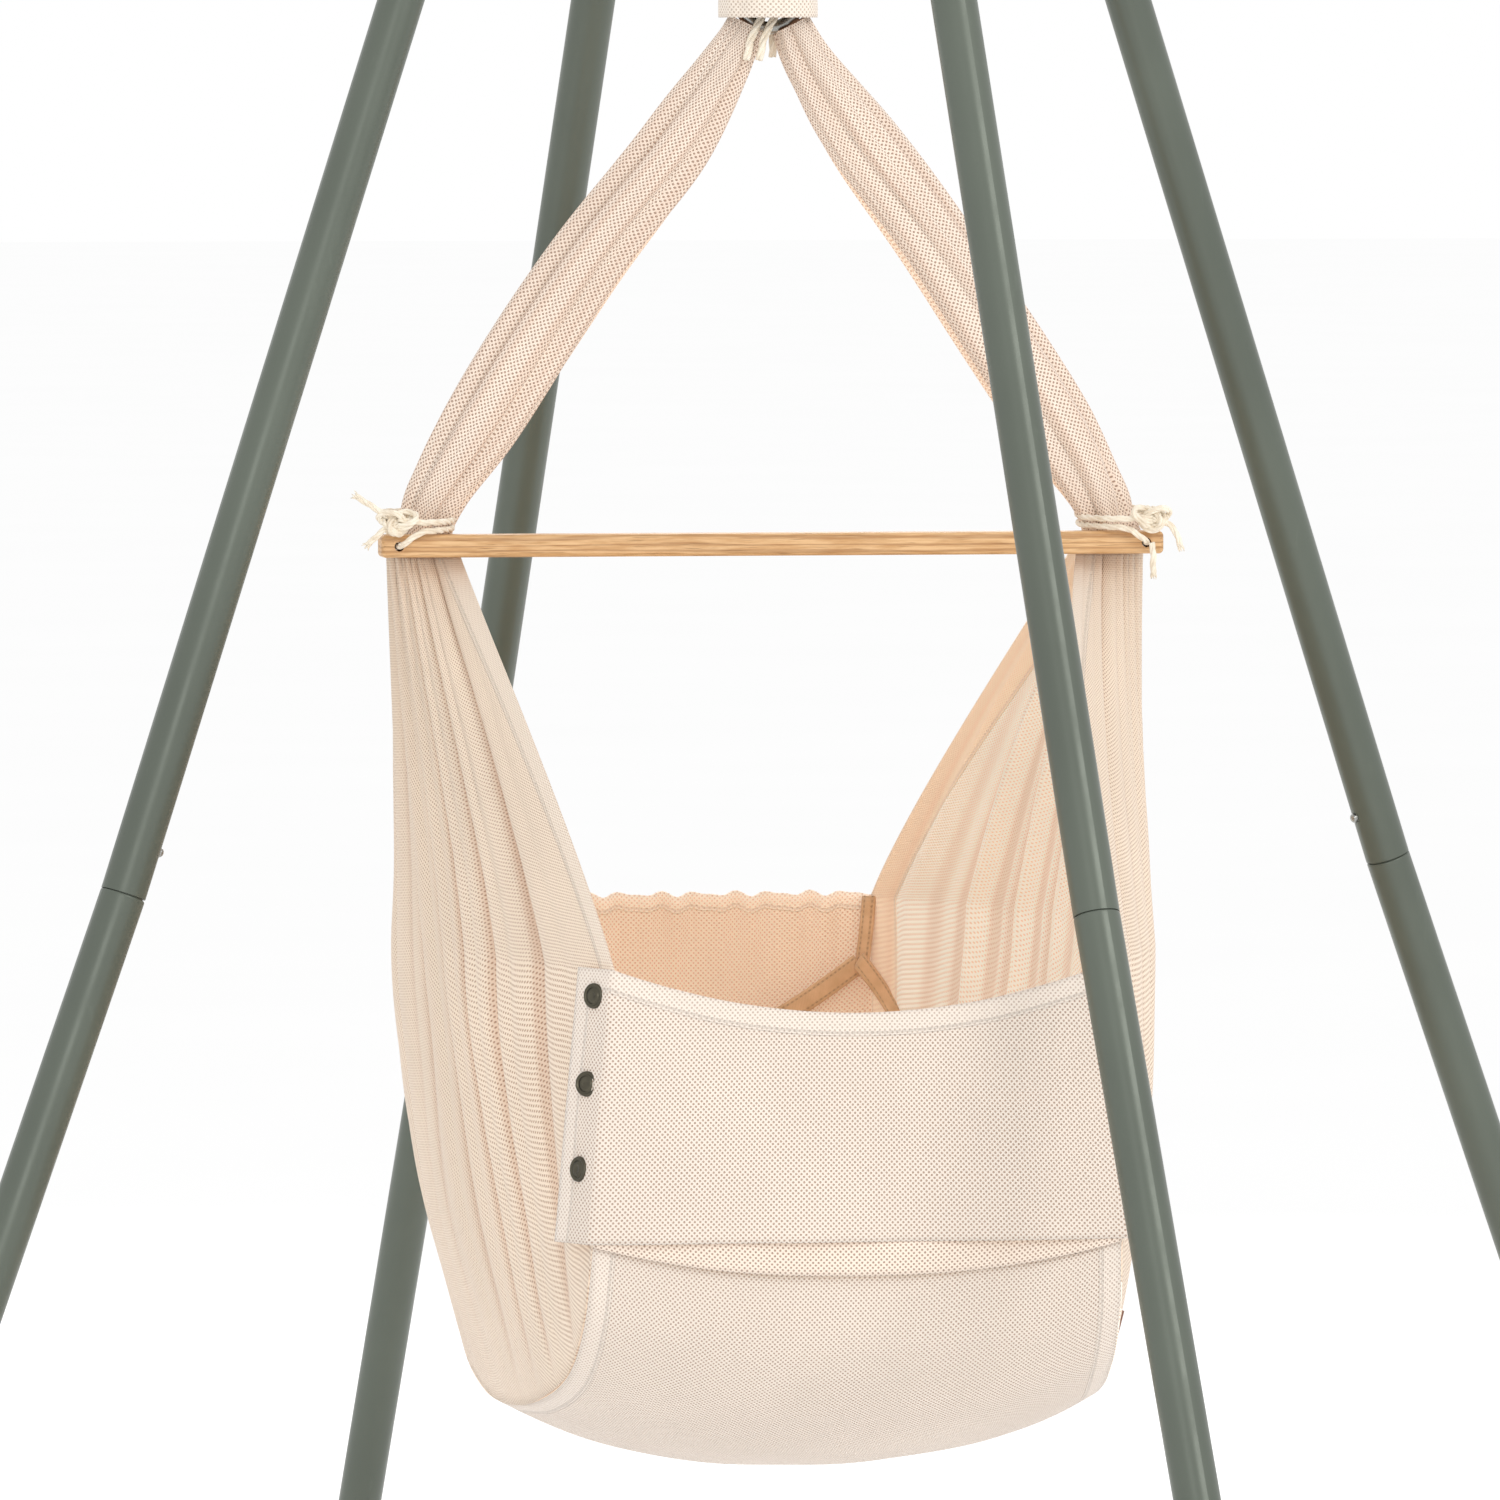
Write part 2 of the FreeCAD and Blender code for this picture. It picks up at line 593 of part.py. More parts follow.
def scallops(radius, base, high, side):
    """Arcs down one side of the closed turns, seen in the half plane of the axis."""
    turns = int(size("coilTurns"))
    pitch = (high - base) / turns
    edges = []
    for turn in range(turns):
        low = base + turn * pitch
        middle = Vector(radius + side * pitch * 0.42, 0, low + pitch / 2)
        edges.append(Part.Arc(Vector(radius, 0, low), middle,
                              Vector(radius, 0, low + pitch)).toShape())
    return edges


def build_spring(ring_floor):
    """Closed-coil spring between the swivel and the lower carabiner, and what surrounds it."""
    wire = size("coilWire")
    loop = size("coilLoop") / 2
    loop_wire = wire / 2
    low_wire = size("lowerHookBase") + size("lowerHookHigh") - size("lowerHookWire") / 2
    low_loop = low_wire - loop_wire - size("linkPlay") + loop
    top_loop = ring_floor + loop_wire + size("linkPlay") - loop
    base = low_loop + loop - wire
    high = top_loop - loop + wire
    outer = size("coilOuter") / 2 - 1.2
    inner = size("coilOuter") / 2 - wire + 1.2
    ends = [Part.makeLine(Vector(inner, 0, level_z), Vector(outer, 0, level_z))
            for level_z in (base, high)]
    profile = Part.Wire(Part.__sortEdges__(
        scallops(outer, base, high, 1) + scallops(inner, base, high, -1) + ends))
    turns = Part.Face(profile).revolve(Vector(), UP, 360)
    pieces = []
    for height, cross_height, facing in (
            (low_loop, base + loop_wire, Rotation(ALONG_Y, 90)),
            (top_loop, high - loop_wire, Rotation(ALONG_X, 90))):
        ring = Part.makeTorus(loop, loop_wire)
        ring.Placement = Placement(Vector(0, 0, height), facing)
        cross = Part.makeCylinder(loop_wire - 0.3, 2 * outer - 3,
                                  Vector(-outer + 1.5, 0, cross_height), ALONG_X)
        pieces += [ring, cross]
    spring = turns.multiFuse(pieces)
    feature("spring", spring.removeSplitter())
    build_spring_cover()
    build_safety_cord(low_loop, top_loop)


def build_spring_cover():
    """A knitted sleeve, open at the bottom and drawn in round the swivel at the top."""
    radius = size("coverOuter") / 2
    wall = size("coverWall")
    top = size("coverTop")
    base = size("coverBase")
    neck = size("coverNeck") / 2
    outer = [(radius, base), (radius - 1.5, base + 40), (radius - 2.5, base + 200),
             (radius - 3, top - 90), (radius - 4.5, top - 42), (neck, top)]
    inner = [(r - wall, z) for r, z in outer]
    outline = Part.BSplineCurve()
    outline.interpolate([Vector(r, 0, z) for r, z in outer])
    inline = Part.BSplineCurve()
    inline.interpolate([Vector(r, 0, z) for r, z in inner])
    hems = [Part.makeLine(Vector(a[0], 0, a[1]), Vector(b[0], 0, b[1]))
            for a, b in ((outer[0], inner[0]), (outer[-1], inner[-1]))]
    profile = Part.Wire([outline.toShape(), hems[1], inline.toShape(), hems[0]])
    feature("spring_cover", Part.Face(profile).revolve(Vector(), UP, 360))


def cord_tube(points, diameter):
    """A round cord: straight runs joined by tangent arcs as large as the runs allow."""
    edges = []
    start = points[0]
    for before, corner, after in zip(points, points[1:], points[2:]):
        into = (corner - before).normalize()
        out = (after - corner).normalize()
        turn = into.getAngle(out)
        setback = 0.45 * min((corner - before).Length, (after - corner).Length)
        radius = setback / math.tan(turn / 2)
        first = corner - into * setback
        last = corner + out * setback
        bisector = (out - into).normalize()
        middle = corner + bisector * (radius / math.cos(turn / 2) - radius)
        edges.append(Part.LineSegment(start, first).toShape())
        edges.append(Part.Arc(first, middle, last).toShape())
        print(f"cord arc radius {radius:.1f}")
        start = last
    edges.append(Part.LineSegment(start, points[-1]).toShape())
    path = Part.Wire(edges)
    direction = points[1] - points[0]
    section = Part.Wire(Part.makeCircle(diameter / 2, points[0], direction))
    tube = path.makePipeShell([section], True, True)
    expected = math.pi * diameter ** 2 / 4 * path.Length
    print(f"cord length {path.Length:.1f}, volume ratio {tube.Volume / expected:.4f}")
    return tube


def build_safety_cord(low_loop, top_loop):
    """A slack cord through the middle of the spring, knotted to both end loops."""
    cord = size("safetyCord")
    low = low_loop + size("coilLoop") / 2 + cord
    high = top_loop - size("coilLoop") / 2 - cord
    sway = [0, 5, -4, 5, -5, 4, -5, 5, -4, 0]
    step = (high - low) / (len(sway) - 1)
    points = [Vector(offset, -offset * 0.6, low + step * number)
              for number, offset in enumerate(sway)]
    tube = cord_tube(points, cord)
    knots = [Part.makeSphere(cord * 0.95, points[0]), Part.makeSphere(cord * 0.95, points[-1])]
    feature("safety_cord", tube.multiFuse(knots))


# ---------------------------------------------------------------- spreader bar and cords

def build_bar():
    """The oak bar with rounded edges and a cord hole near each end."""
    body = new_body("SpreaderBar")
    sketch = new_sketch(body, "BarSketch", "YZ_Plane", lift(-size("barLong") / 2))
    corners = [(-11, -7), (11, -7), (11, 7), (-11, 7)]
    for number, (first, second) in enumerate(zip(corners, corners[1:] + corners[:1])):
        sketch.addGeometry(Part.LineSegment(Vector(*first, 0), Vector(*second, 0)), False)
    for number in range(4):
        sketch.addConstraint(Sketcher.Constraint("Coincident", number, 2, (number + 1) % 4, 1))
    for number in (0, 2):
        sketch.addConstraint(Sketcher.Constraint("Horizontal", number))
    for number in (1, 3):
        sketch.addConstraint(Sketcher.Constraint("Vertical", number))
    sketch.addConstraint(Sketcher.Constraint("Symmetric", 0, 1, 2, 1, -1, 1))
    deep = sketch.addConstraint(Sketcher.Constraint("DistanceX", 0, 1, 0, 2, 22.0))
    high = sketch.addConstraint(Sketcher.Constraint("DistanceY", 1, 1, 1, 2, 14.0))
    sketch.setExpression(f"Constraints[{deep}]", "Sizes.barDeep")
    sketch.setExpression(f"Constraints[{high}]", "Sizes.barHigh")
    blank = pad(body, "BarBlank", sketch, "S.barLong")
    doc.recompute()
    rounding = body.newObject("PartDesign::Fillet", "BarRounding")
    rounding.Base = (blank, [f"Edge{n}" for n in range(1, len(blank.Shape.Edges) + 1)])
    bind(rounding, Radius="S.barRound")
    holes = new_sketch(body, "BarHoleSketch", "XZ_Plane")
    reach = size("barLong") / 2 - size("barHoleInset")
    for side in (-1, 1):
        add_circle(holes, "S.barHole", (side * reach, 0))
    drill = pocket(body, "BarHoles", holes, "S.barDeep * 2")
    drill.Midplane = True
    keep(body, "spreader_bar",
         Placement(Vector(0, size("barFront"), size("barHeight")), Rotation()))


def build_lashing(name, side):
    """Cord from a knot, through the bar's hole, behind the bundle and back to the knot."""
    hole = side * (size("barLong") / 2 - size("barHoleInset"))
    front = size("barFront") - size("barDeep") / 2
    back = size("gatherY") + size("gatherDeep") / 2
    mid = size("barHeight")
    top = mid + size("barHigh") / 2
    inner = side * (size("gatherX") - size("gatherWide") / 2)
    cord = size("lashCord")
    route = [
        Vector(hole + side * 2, front - 6, top + 8),
        Vector(hole + side * 1, front - 8, mid + 3),
        Vector(hole, front + 4, mid),
        Vector(hole, back - 6, mid),
        Vector(hole - side * 4, back + 9, mid + 6),
        Vector(hole - side * 20, back + 12, top + 8),
        Vector(inner - side * 5, back - 4, top + 9),
        Vector(inner - side * 4, front + 12, top + 6),
        Vector(inner + side * 16, front - 5, top + 5),
        Vector(hole - side * 2, front - 9, top + 8),
    ]
    tube = cord_tube(route, cord)
    knot = Part.makeSphere(cord * 1.9, Vector(hole + side * 1, front - 7, top + 8))
    feature(f"bar_lashing_{name}", tube.fuse(knot))


# ---------------------------------------------------------------- the cloth's surfaces

def along(points, position):
    """Straight interpolation in a list of (position, value) pairs."""
    for (a, low), (b, high) in zip(points, points[1:]):
        if position <= b:
            return low + (high - low) * (position - a) / (b - a)
    return points[-1][1]


# belly line: (share of the way from the foot end to the head end, Y, Z under the middle)
BELLY = [(0.00, -356, 431), (0.08, -338, 380), (0.17, -292, 338), (0.30, -205, 305),
         (0.45, -60, 287), (0.55, 50, 287), (0.70, 195, 306), (0.83, 288, 346),
         (0.92, 336, 398), (1.00, 352, 460)]
# half width of the cradle's floor, and how far its seams stand above the belly line
FLOOR_WIDTH = [(0.0, 160), (0.17, 172), (0.3, 184), (0.5, 190), (0.7, 180), (0.83, 156),
               (1.0, 124)]
FLOOR_RISE = [(0.0, 17), (0.17, 30), (0.3, 38), (0.7, 38), (0.83, 28), (1.0, 10)]


def belly_point(share, across):
    """Point of the cradle's floor; across runs from -1 at the left seam to 1."""
    y = along([(s, y) for s, y, _ in BELLY], share)
    z = along([(s, z) for s, _, z in BELLY], share)
    rise = along(FLOOR_RISE, share) * abs(across) ** 2.4
    return Vector(across * along(FLOOR_WIDTH, share), y, z + rise)


def rim_width(share):
    """Half width of the cradle at rim height."""
    end = size("rimFront") if share < 0.5 else size("rimRear")
    return end + (size("rimMiddle") - end) * (1 - abs(2 * share - 1) ** 2.2)


def side_point(share, drop):
    """Point of the right side panel; drop is 0 at the bar, 1 at the rim, 2 at the floor."""
    rim = Vector(rim_width(share), size("rimLong") * (share - 0.5), size("rimHeight"))
    if drop <= 1:
        gather_y = size("gatherY") + size("gatherDeep") * (share - 0.5)
        top = size("barHeight") - size("barHigh") / 2 - 1
        fan = drop ** 1.15
        bow = 1 - (1 - drop) ** 1.35
        return Vector(size("gatherX") + (rim.x - size("gatherX")) * bow,
                      gather_y + (rim.y - gather_y) * fan,
                      top + (rim.z - top) * drop)
    seam = belly_point(share, 1)
    fall = drop - 1
    return Vector(rim.x + (seam.x - rim.x) * fall ** 1.8,
                  rim.y + (seam.y - rim.y) * fall,
                  rim.z + (seam.z - rim.z) * fall)


def thick_sheet(grid, thickness, sideways=None):
    """A closed solid round a grid of points, thickened along the surface's normals.

    sideways(row) is how far a row's normals turn level, from 0, not at all, to 1."""
    rows = len(grid)
    columns = len(grid[0])
    skins = ([], [])
    for r in range(rows):
        for skin in skins:
            skin.append([])
        for c in range(columns):
            down = grid[min(r + 1, rows - 1)][c] - grid[max(r - 1, 0)][c]
            across = grid[r][min(c + 1, columns - 1)] - grid[r][max(c - 1, 0)]
            normal = down.cross(across).normalize()
            if sideways is not None:
                turned = Vector(normal.x, normal.y, 0).normalize()
                turned = turned + (ALONG_X * math.copysign(1, turned.x) - turned) * sideways(r)
                normal = (normal + (turned - normal) * sideways(r)).normalize()
            normal = normal * (thickness(r, c) / 2)
            skins[0][r].append(grid[r][c] + normal)
            skins[1][r].append(grid[r][c] - normal)
    surfaces = []
    for skin in skins:
        surface = Part.BSplineSurface()
        surface.interpolate(skin)
        surfaces.append(surface)
    faces = [surface.toShape() for surface in surfaces]
    first, last, low, high = surfaces[0].bounds()
    for iso, value in (("uIso", first), ("uIso", last), ("vIso", low), ("vIso", high)):
        pair = [getattr(surface, iso)(value).toShape() for surface in surfaces]
        faces.append(Part.makeRuledSurface(*pair))
    shell = Part.makeShell(faces)
    shell.sewShape()
    solid = Part.makeSolid(Part.makeShell(shell.Faces))
    if solid.Volume < 0:
        solid.reverse()
    return solid


def mirrored(shape):
    """The same shape on the other side of the middle plane."""
    return shape.mirror(Vector(), ALONG_X)


def spread(count, low, high):
    """Evenly spaced numbers from low to high."""
    return [low + (high - low) * n / (count - 1) for n in range(count)]


def build_side_panels():
    """Each side panel: gathered under the bar, fanned to the rim, and down to the floor."""
    edge = size("seamGap") / 900
    drops = spread(9, 0.0, 1.0)[:-1] + spread(7, 1.0, 1.985)
    shares = spread(17, edge, 1 - edge)
    grid = [[side_point(share, drop) for share in shares] for drop in drops]

    def thickness(row, _column):
        gathered = max(0.0, 1 - drops[row] / 0.45)
        return size("clothThick") + (size("gatherWide") - size("clothThick")) * gathered ** 1.6

    def sideways(row):
        return max(0.0, 1 - drops[row] / 0.6) ** 0.5

    panel = thick_sheet(grid, thickness, sideways)
    feature("side_panel_right", panel)
    feature("side_panel_left", mirrored(panel))


def build_floor():
    """The cradle's floor, from the front crease under the mattress to the back panel."""
    shares = spread(19, 0.012, 0.988)
    acrosses = spread(11, -0.985, 0.985)
    grid = [[belly_point(share, across) for across in acrosses] for share in shares]
    feature("basket_bottom", thick_sheet(grid, lambda row, column: size("clothThick")))


def back_point(across, rise):
    """Point of the back panel; rise is 0 at the floor's rear seam and 1 at the top hem."""
    seam = belly_point(1.0, across)
    half = seam.x + (size("rimRear") * across - seam.x) * rise
    bow = 9 * (1 - across ** 2) * (1 - (2 * rise - 1) ** 2)
    y = size("rimLong") / 2 + 3 + bow
    return Vector(half, y, seam.z + 5 + (size("rimHeight") + 2 - seam.z - 5) * rise)


def build_back_panel():
    """The head end's cloth wall, between the two side panels."""
    grid = [[back_point(across, rise) for across in spread(9, -0.95, 0.95)]
            for rise in spread(6, 0, 1)]
    feature("back_panel", thick_sheet(grid, lambda row, column: size("clothThick")))


def flap_corner(rise):
    """Half width of the flap's flat part; rise is 0 at the crease and 1 at the top."""
    return 163 + (148.5 - 163) * rise


def flap_point(across, rise):
    """Point of the front flap: across 1 is its corner, beyond 1 its turned side strip."""
    corner = flap_corner(rise)
    side = 1 if across > 0 else -1
    share = min(abs(across), 1.0)
    beyond = max(abs(across) - 1.0, 0.0) * size("flapWrap")
    sag = size("flapSag") * (1 - share ** 2) * max(0.0, rise - 0.35) / 0.65
    top = size("rimHeight") + 2
    z = size("creaseHeight") + 2.5 + (top - size("creaseHeight") - 2.5) * rise - sag
    y = -size("rimLong") / 2 - size("flapStandOff") - 4 * (1 - share ** 2) - 3 * (1 - rise)
    lean = math.radians(31)
    return Vector(side * (corner * share + beyond * math.sin(lean)),
                  y + beyond * math.cos(lean), z)


def build_flap():
    """The foot end's flap, its turned strips lying outside the side panels."""
    steps = [-2, -1.66, -1.33, -1.08, -0.93, -0.75, -0.5, -0.25, 0]
    acrosses = steps + [-step for step in reversed(steps[:-1])]
    grid = [[flap_point(across, rise) for across in acrosses] for rise in spread(8, 0, 1)]
    feature("front_flap", thick_sheet(grid, lambda row, column: 2.4))


def build_seam_band():
    """The narrow band of cloth under the flap's crease, sewn to the floor."""
    grid = []
    for height in spread(3, 0, 1):
        row = []
        for across in spread(9, -0.97, 0.97):
            floor_edge = belly_point(0.0, across)
            top = size("creaseHeight") - 2.2
            z = floor_edge.z + 1.5 + (top - floor_edge.z - 1.5) * height
            row.append(Vector(floor_edge.x, floor_edge.y - 2.5 - 3 * (1 - across ** 2), z))
        grid.append(row)
    feature("front_seam_band", thick_sheet(grid, lambda row, column: 2.0))


SNAP_RISES = (0.90, 0.58, 0.27)


def snap_frames():
    """Where the snaps sit on the flap's turned strips: a point and an outward direction."""
    frames = []
    for side in (-1, 1):
        for rise in SNAP_RISES:
            middle = flap_point(side * 1.42, rise)
            ahead = flap_point(side * 1.5, rise) - middle
            above = flap_point(side * 1.42, rise + 0.02) - middle
            outward = ahead.cross(above).normalize()
            if outward.x * side < 0:
                outward = outward * -1
            frames.append((middle, outward))
    return frames


def build_snaps():
    """Snap caps on the outside of the flap, and their sockets on the side panels."""
    radius = size("snapOuter") / 2
    caps = []
    sockets = []
    for middle, outward in snap_frames():
        foot_point = middle + outward * 1.3
        disc = Part.makeCylinder(radius, size("snapHigh"), foot_point, outward)
        dome = disc.makeFillet(1.2, [disc.Edges[0]] if disc.Edges[0].CenterOfMass.distanceToPoint(
            foot_point) > 1 else [disc.Edges[2]])
        caps.append(dome)
        sockets.append(Part.makeCylinder(radius * 0.72, 1.8, middle - outward * 4.0, outward))
    feature("snap_caps", Part.makeCompound(caps))
    feature("snap_sockets", Part.makeCompound(sockets))


def build_mattress():
    """A soft pad that follows the floor, raised at the head end."""
    rows = []
    lift_off = size("mattressThick") / 2 + size("clothThick") / 2 + 1.5
    for share in spread(13, 0.115, 0.885):
        row = []
        for across in spread(9, -1, 1):
            width = min(size("mattressWide") / 2, along(FLOOR_WIDTH, share) - 26)
            at = across * width / along(FLOOR_WIDTH, share)
            low = belly_point(share, at)
            row.append(Vector(across * width, low.y * 0.965, low.z + lift_off + 7))
        rows.append(row)
    feature("mattress", thick_sheet(rows, lambda row, column: size("mattressThick")))


# ---------------------------------------------------------------- bundles above the bar

# (X, Z, half width across the run, half depth along Y), from the hook down to the bar
BUNDLE = [(14, 1167, 12, 11), (28, 1148, 17, 14), (60, 1099, 25, 18), (111, 1032, 26, 19),
          (180, 929, 24, 17), (211, 880, 22, 14), (222, 862, 21, 12.5), (222, 848, 21, 12)]


def build_bundle(name, side):
    """One gathered bundle of cloth, from the hook to the end of the bar."""
    sections = []
    for number, (x, z, half_wide, half_deep) in enumerate(BUNDLE):
        before = BUNDLE[max(number - 1, 0)]
        after = BUNDLE[min(number + 1, len(BUNDLE) - 1)]
        run = Vector(side * (after[0] - before[0]), 0, after[1] - before[1]).normalize()
        if number >= len(BUNDLE) - 2:
            run = Vector(0, 0, -1)
        share = (z - BUNDLE[-1][1]) / (BUNDLE[0][1] - BUNDLE[-1][1])
        y = size("gatherY") + (2 - size("gatherY")) * min(1.0, share * 1.6)
        across = run.cross(ALONG_Y).normalize()
        oval = Part.Ellipse(Vector(), half_wide, half_deep)
        edge = oval.toShape()
        turn = Rotation(across, ALONG_Y, run, "XYZ")
        edge.Placement = Placement(Vector(side * x, y, z), turn)
        sections.append(Part.Wire(edge))
    feature(f"bundle_{name}", Part.makeLoft(sections, True, False))


def build_top_loops():
    """Two cord loops that carry the bundles on the lower carabiner."""
    cord = size("lashCord") + 1
    wire = size("lowerHookBase")
    rest = wire + size("lowerHookWire") / 2 + cord / 2 + 0.3
    loops = []
    for side in (-1, 1):
        x = side * 4.0
        points = [Vector(x - side * 0.6, -13, wire - 16), Vector(x, -10.5, wire - 5),
                  Vector(x, -7.5, wire + 4), Vector(x, -0.6, rest + 1.9), Vector(x, 7, wire + 4),
                  Vector(x, 10.5, wire - 5), Vector(x - side * 0.6, 12.5, wire - 16)]
        loops.append(cord_tube(points, cord))
    feature("top_cord_loops", Part.makeCompound(loops))


def build_label():
    """A small blank tag on the right side panel, near the floor seam."""
    middle = side_point(0.30, 1.86)
    along_seam = (side_point(0.33, 1.86) - middle).normalize()
    down = (side_point(0.30, 1.90) - middle).normalize()
    outward = along_seam.cross(down).normalize()
    if outward.x < 0:
        outward = outward * -1
    box = Part.makeBox(1.2, 42, 22, Vector(-0.6, -21, -11))
    box.Placement = Placement(middle + outward * 2.6,
                              Rotation(outward, along_seam, Vector(), "XYZ"))
    feature("blank_label", box)


def build_cloth():
    """Everything below the hook that is made of cloth, and the cords that tie it."""
    for name, side in SIDES:
        build_bundle(name, side)
        build_lashing(name, side)
    build_top_loops()
    build_side_panels()
    build_floor()
    build_back_panel()
    build_flap()
    build_seam_band()
    build_snaps()
    build_mattress()
    build_label()


# ---------------------------------------------------------------- build, test and write

build_legs()
build_hub()
build_hanging_gear()
build_bar()
build_cloth()
doc.recompute()

for obj in doc.Objects:
    if "Invalid" in obj.State or "Error" in obj.State:
        raise RuntimeError(f"{obj.Name} failed: {obj.State}")
for part in parts:
    if part.Shape.isNull() or not part.Shape.isValid():
        raise RuntimeError(f"{part.Label} has no valid shape")

os.makedirs("parts", exist_ok=True)
for part in parts:
    part.Shape.exportStep(f"parts/{part.Label}.step")
    box = part.Shape.BoundBox
    print(f"{part.Label}: {len(part.Shape.Solids)} solids, {part.Shape.Volume / 1000:.1f} cm3, "
          f"X {box.XMin:.1f}..{box.XMax:.1f} Y {box.YMin:.1f}..{box.YMax:.1f} "
          f"Z {box.ZMin:.1f}..{box.ZMax:.1f}")
print(len(parts), "sub-parts")
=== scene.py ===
import math

import bpy
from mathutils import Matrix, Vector, noise


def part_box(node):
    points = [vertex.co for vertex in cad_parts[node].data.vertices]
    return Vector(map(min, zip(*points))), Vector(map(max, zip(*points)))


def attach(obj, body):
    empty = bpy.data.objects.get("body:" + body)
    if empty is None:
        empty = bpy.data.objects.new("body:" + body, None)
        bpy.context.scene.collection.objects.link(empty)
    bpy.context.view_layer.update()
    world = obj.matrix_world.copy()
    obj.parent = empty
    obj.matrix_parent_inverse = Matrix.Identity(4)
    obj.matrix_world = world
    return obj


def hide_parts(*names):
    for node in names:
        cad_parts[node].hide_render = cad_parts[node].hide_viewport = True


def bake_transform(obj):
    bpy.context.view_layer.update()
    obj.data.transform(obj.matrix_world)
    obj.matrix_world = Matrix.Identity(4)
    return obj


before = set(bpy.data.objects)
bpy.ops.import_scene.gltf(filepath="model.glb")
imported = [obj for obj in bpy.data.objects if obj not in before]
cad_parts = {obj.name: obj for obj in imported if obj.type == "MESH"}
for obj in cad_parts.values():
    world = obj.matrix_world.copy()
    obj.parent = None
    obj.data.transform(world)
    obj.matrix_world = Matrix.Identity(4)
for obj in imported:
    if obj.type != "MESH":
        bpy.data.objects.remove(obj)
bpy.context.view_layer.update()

MM = 0.001
SIDES = (("left", -1), ("right", 1))


# ---------------- numbers from the frame

def low(node):
    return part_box(node)[0]


def high(node):
    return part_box(node)[1]


BAR_LOW, BAR_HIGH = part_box("spreader_bar")
BAR_END = BAR_HIGH.x
HOLE_INSET = 11 * MM
GATHER_X = 222 * MM
GATHER_Y = 12 * MM
GATHER_TOP = BAR_LOW.z - 1 * MM
RIM_Z = 612 * MM
RIM_LONG = 700 * MM
RIM_FRONT = 146 * MM
RIM_REAR = 120 * MM
RIM_MIDDLE = 229 * MM
CREASE_Z = 449 * MM
CLOTH = 1.6 * MM

# belly line: (share from the foot end to the head end, Y, Z under the middle), in mm
BELLY = [(0.00, -356, 431), (0.08, -338, 380), (0.17, -292, 338), (0.30, -205, 305),
         (0.45, -60, 287), (0.55, 50, 287), (0.70, 195, 306), (0.83, 288, 346),
         (0.92, 336, 398), (1.00, 352, 460)]
FLOOR_WIDTH = [(0.0, 160), (0.17, 165), (0.3, 171), (0.5, 173), (0.7, 167), (0.83, 150),
               (1.0, 124)]
FLOOR_RISE = [(0.0, 17), (0.17, 30), (0.3, 38), (0.7, 38), (0.83, 28), (1.0, 10)]


def mm(x, y, z):
    """A vector given in millimetres."""
    return Vector((x, y, z)) * MM


def smooth(edge0, edge1, x):
    """0 below edge0, 1 above edge1, and a smooth step between."""
    t = min(1.0, max(0.0, (x - edge0) / (edge1 - edge0)))
    return t * t * (3 - 2 * t)


def along(points, position):
    """Smooth interpolation in a list of (position, value) pairs, by cubic Hermite spans."""
    last = len(points) - 1
    for i in range(last):
        a, va = points[i]
        b, vb = points[i + 1]
        if position <= b or i == last - 1:
            before = points[max(i - 1, 0)]
            after = points[min(i + 2, last)]
            slope_a = (vb - before[1]) / (b - before[0])
            slope_b = (after[1] - va) / (after[0] - a)
            t = (position - a) / (b - a)
            t2, t3 = t * t, t * t * t
            return ((2 * t3 - 3 * t2 + 1) * va + (t3 - 2 * t2 + t) * (b - a) * slope_a
                    + (3 * t2 - 2 * t3) * vb + (t3 - t2) * (b - a) * slope_b)


# ---------------- shader helpers

def rgb(red, green, blue):
    """Linear colour of an sRGB colour given in 0..255."""
    def linear(value):
        value /= 255
        return value / 12.92 if value <= 0.04045 else ((value + 0.055) / 1.055) ** 2.4
    return (linear(red), linear(green), linear(blue), 1.0)


def scaled(colour, factor):
    """A darker or lighter colour of the same hue."""
    return tuple(min(1.0, c * factor) for c in colour[:3]) + (1.0,)


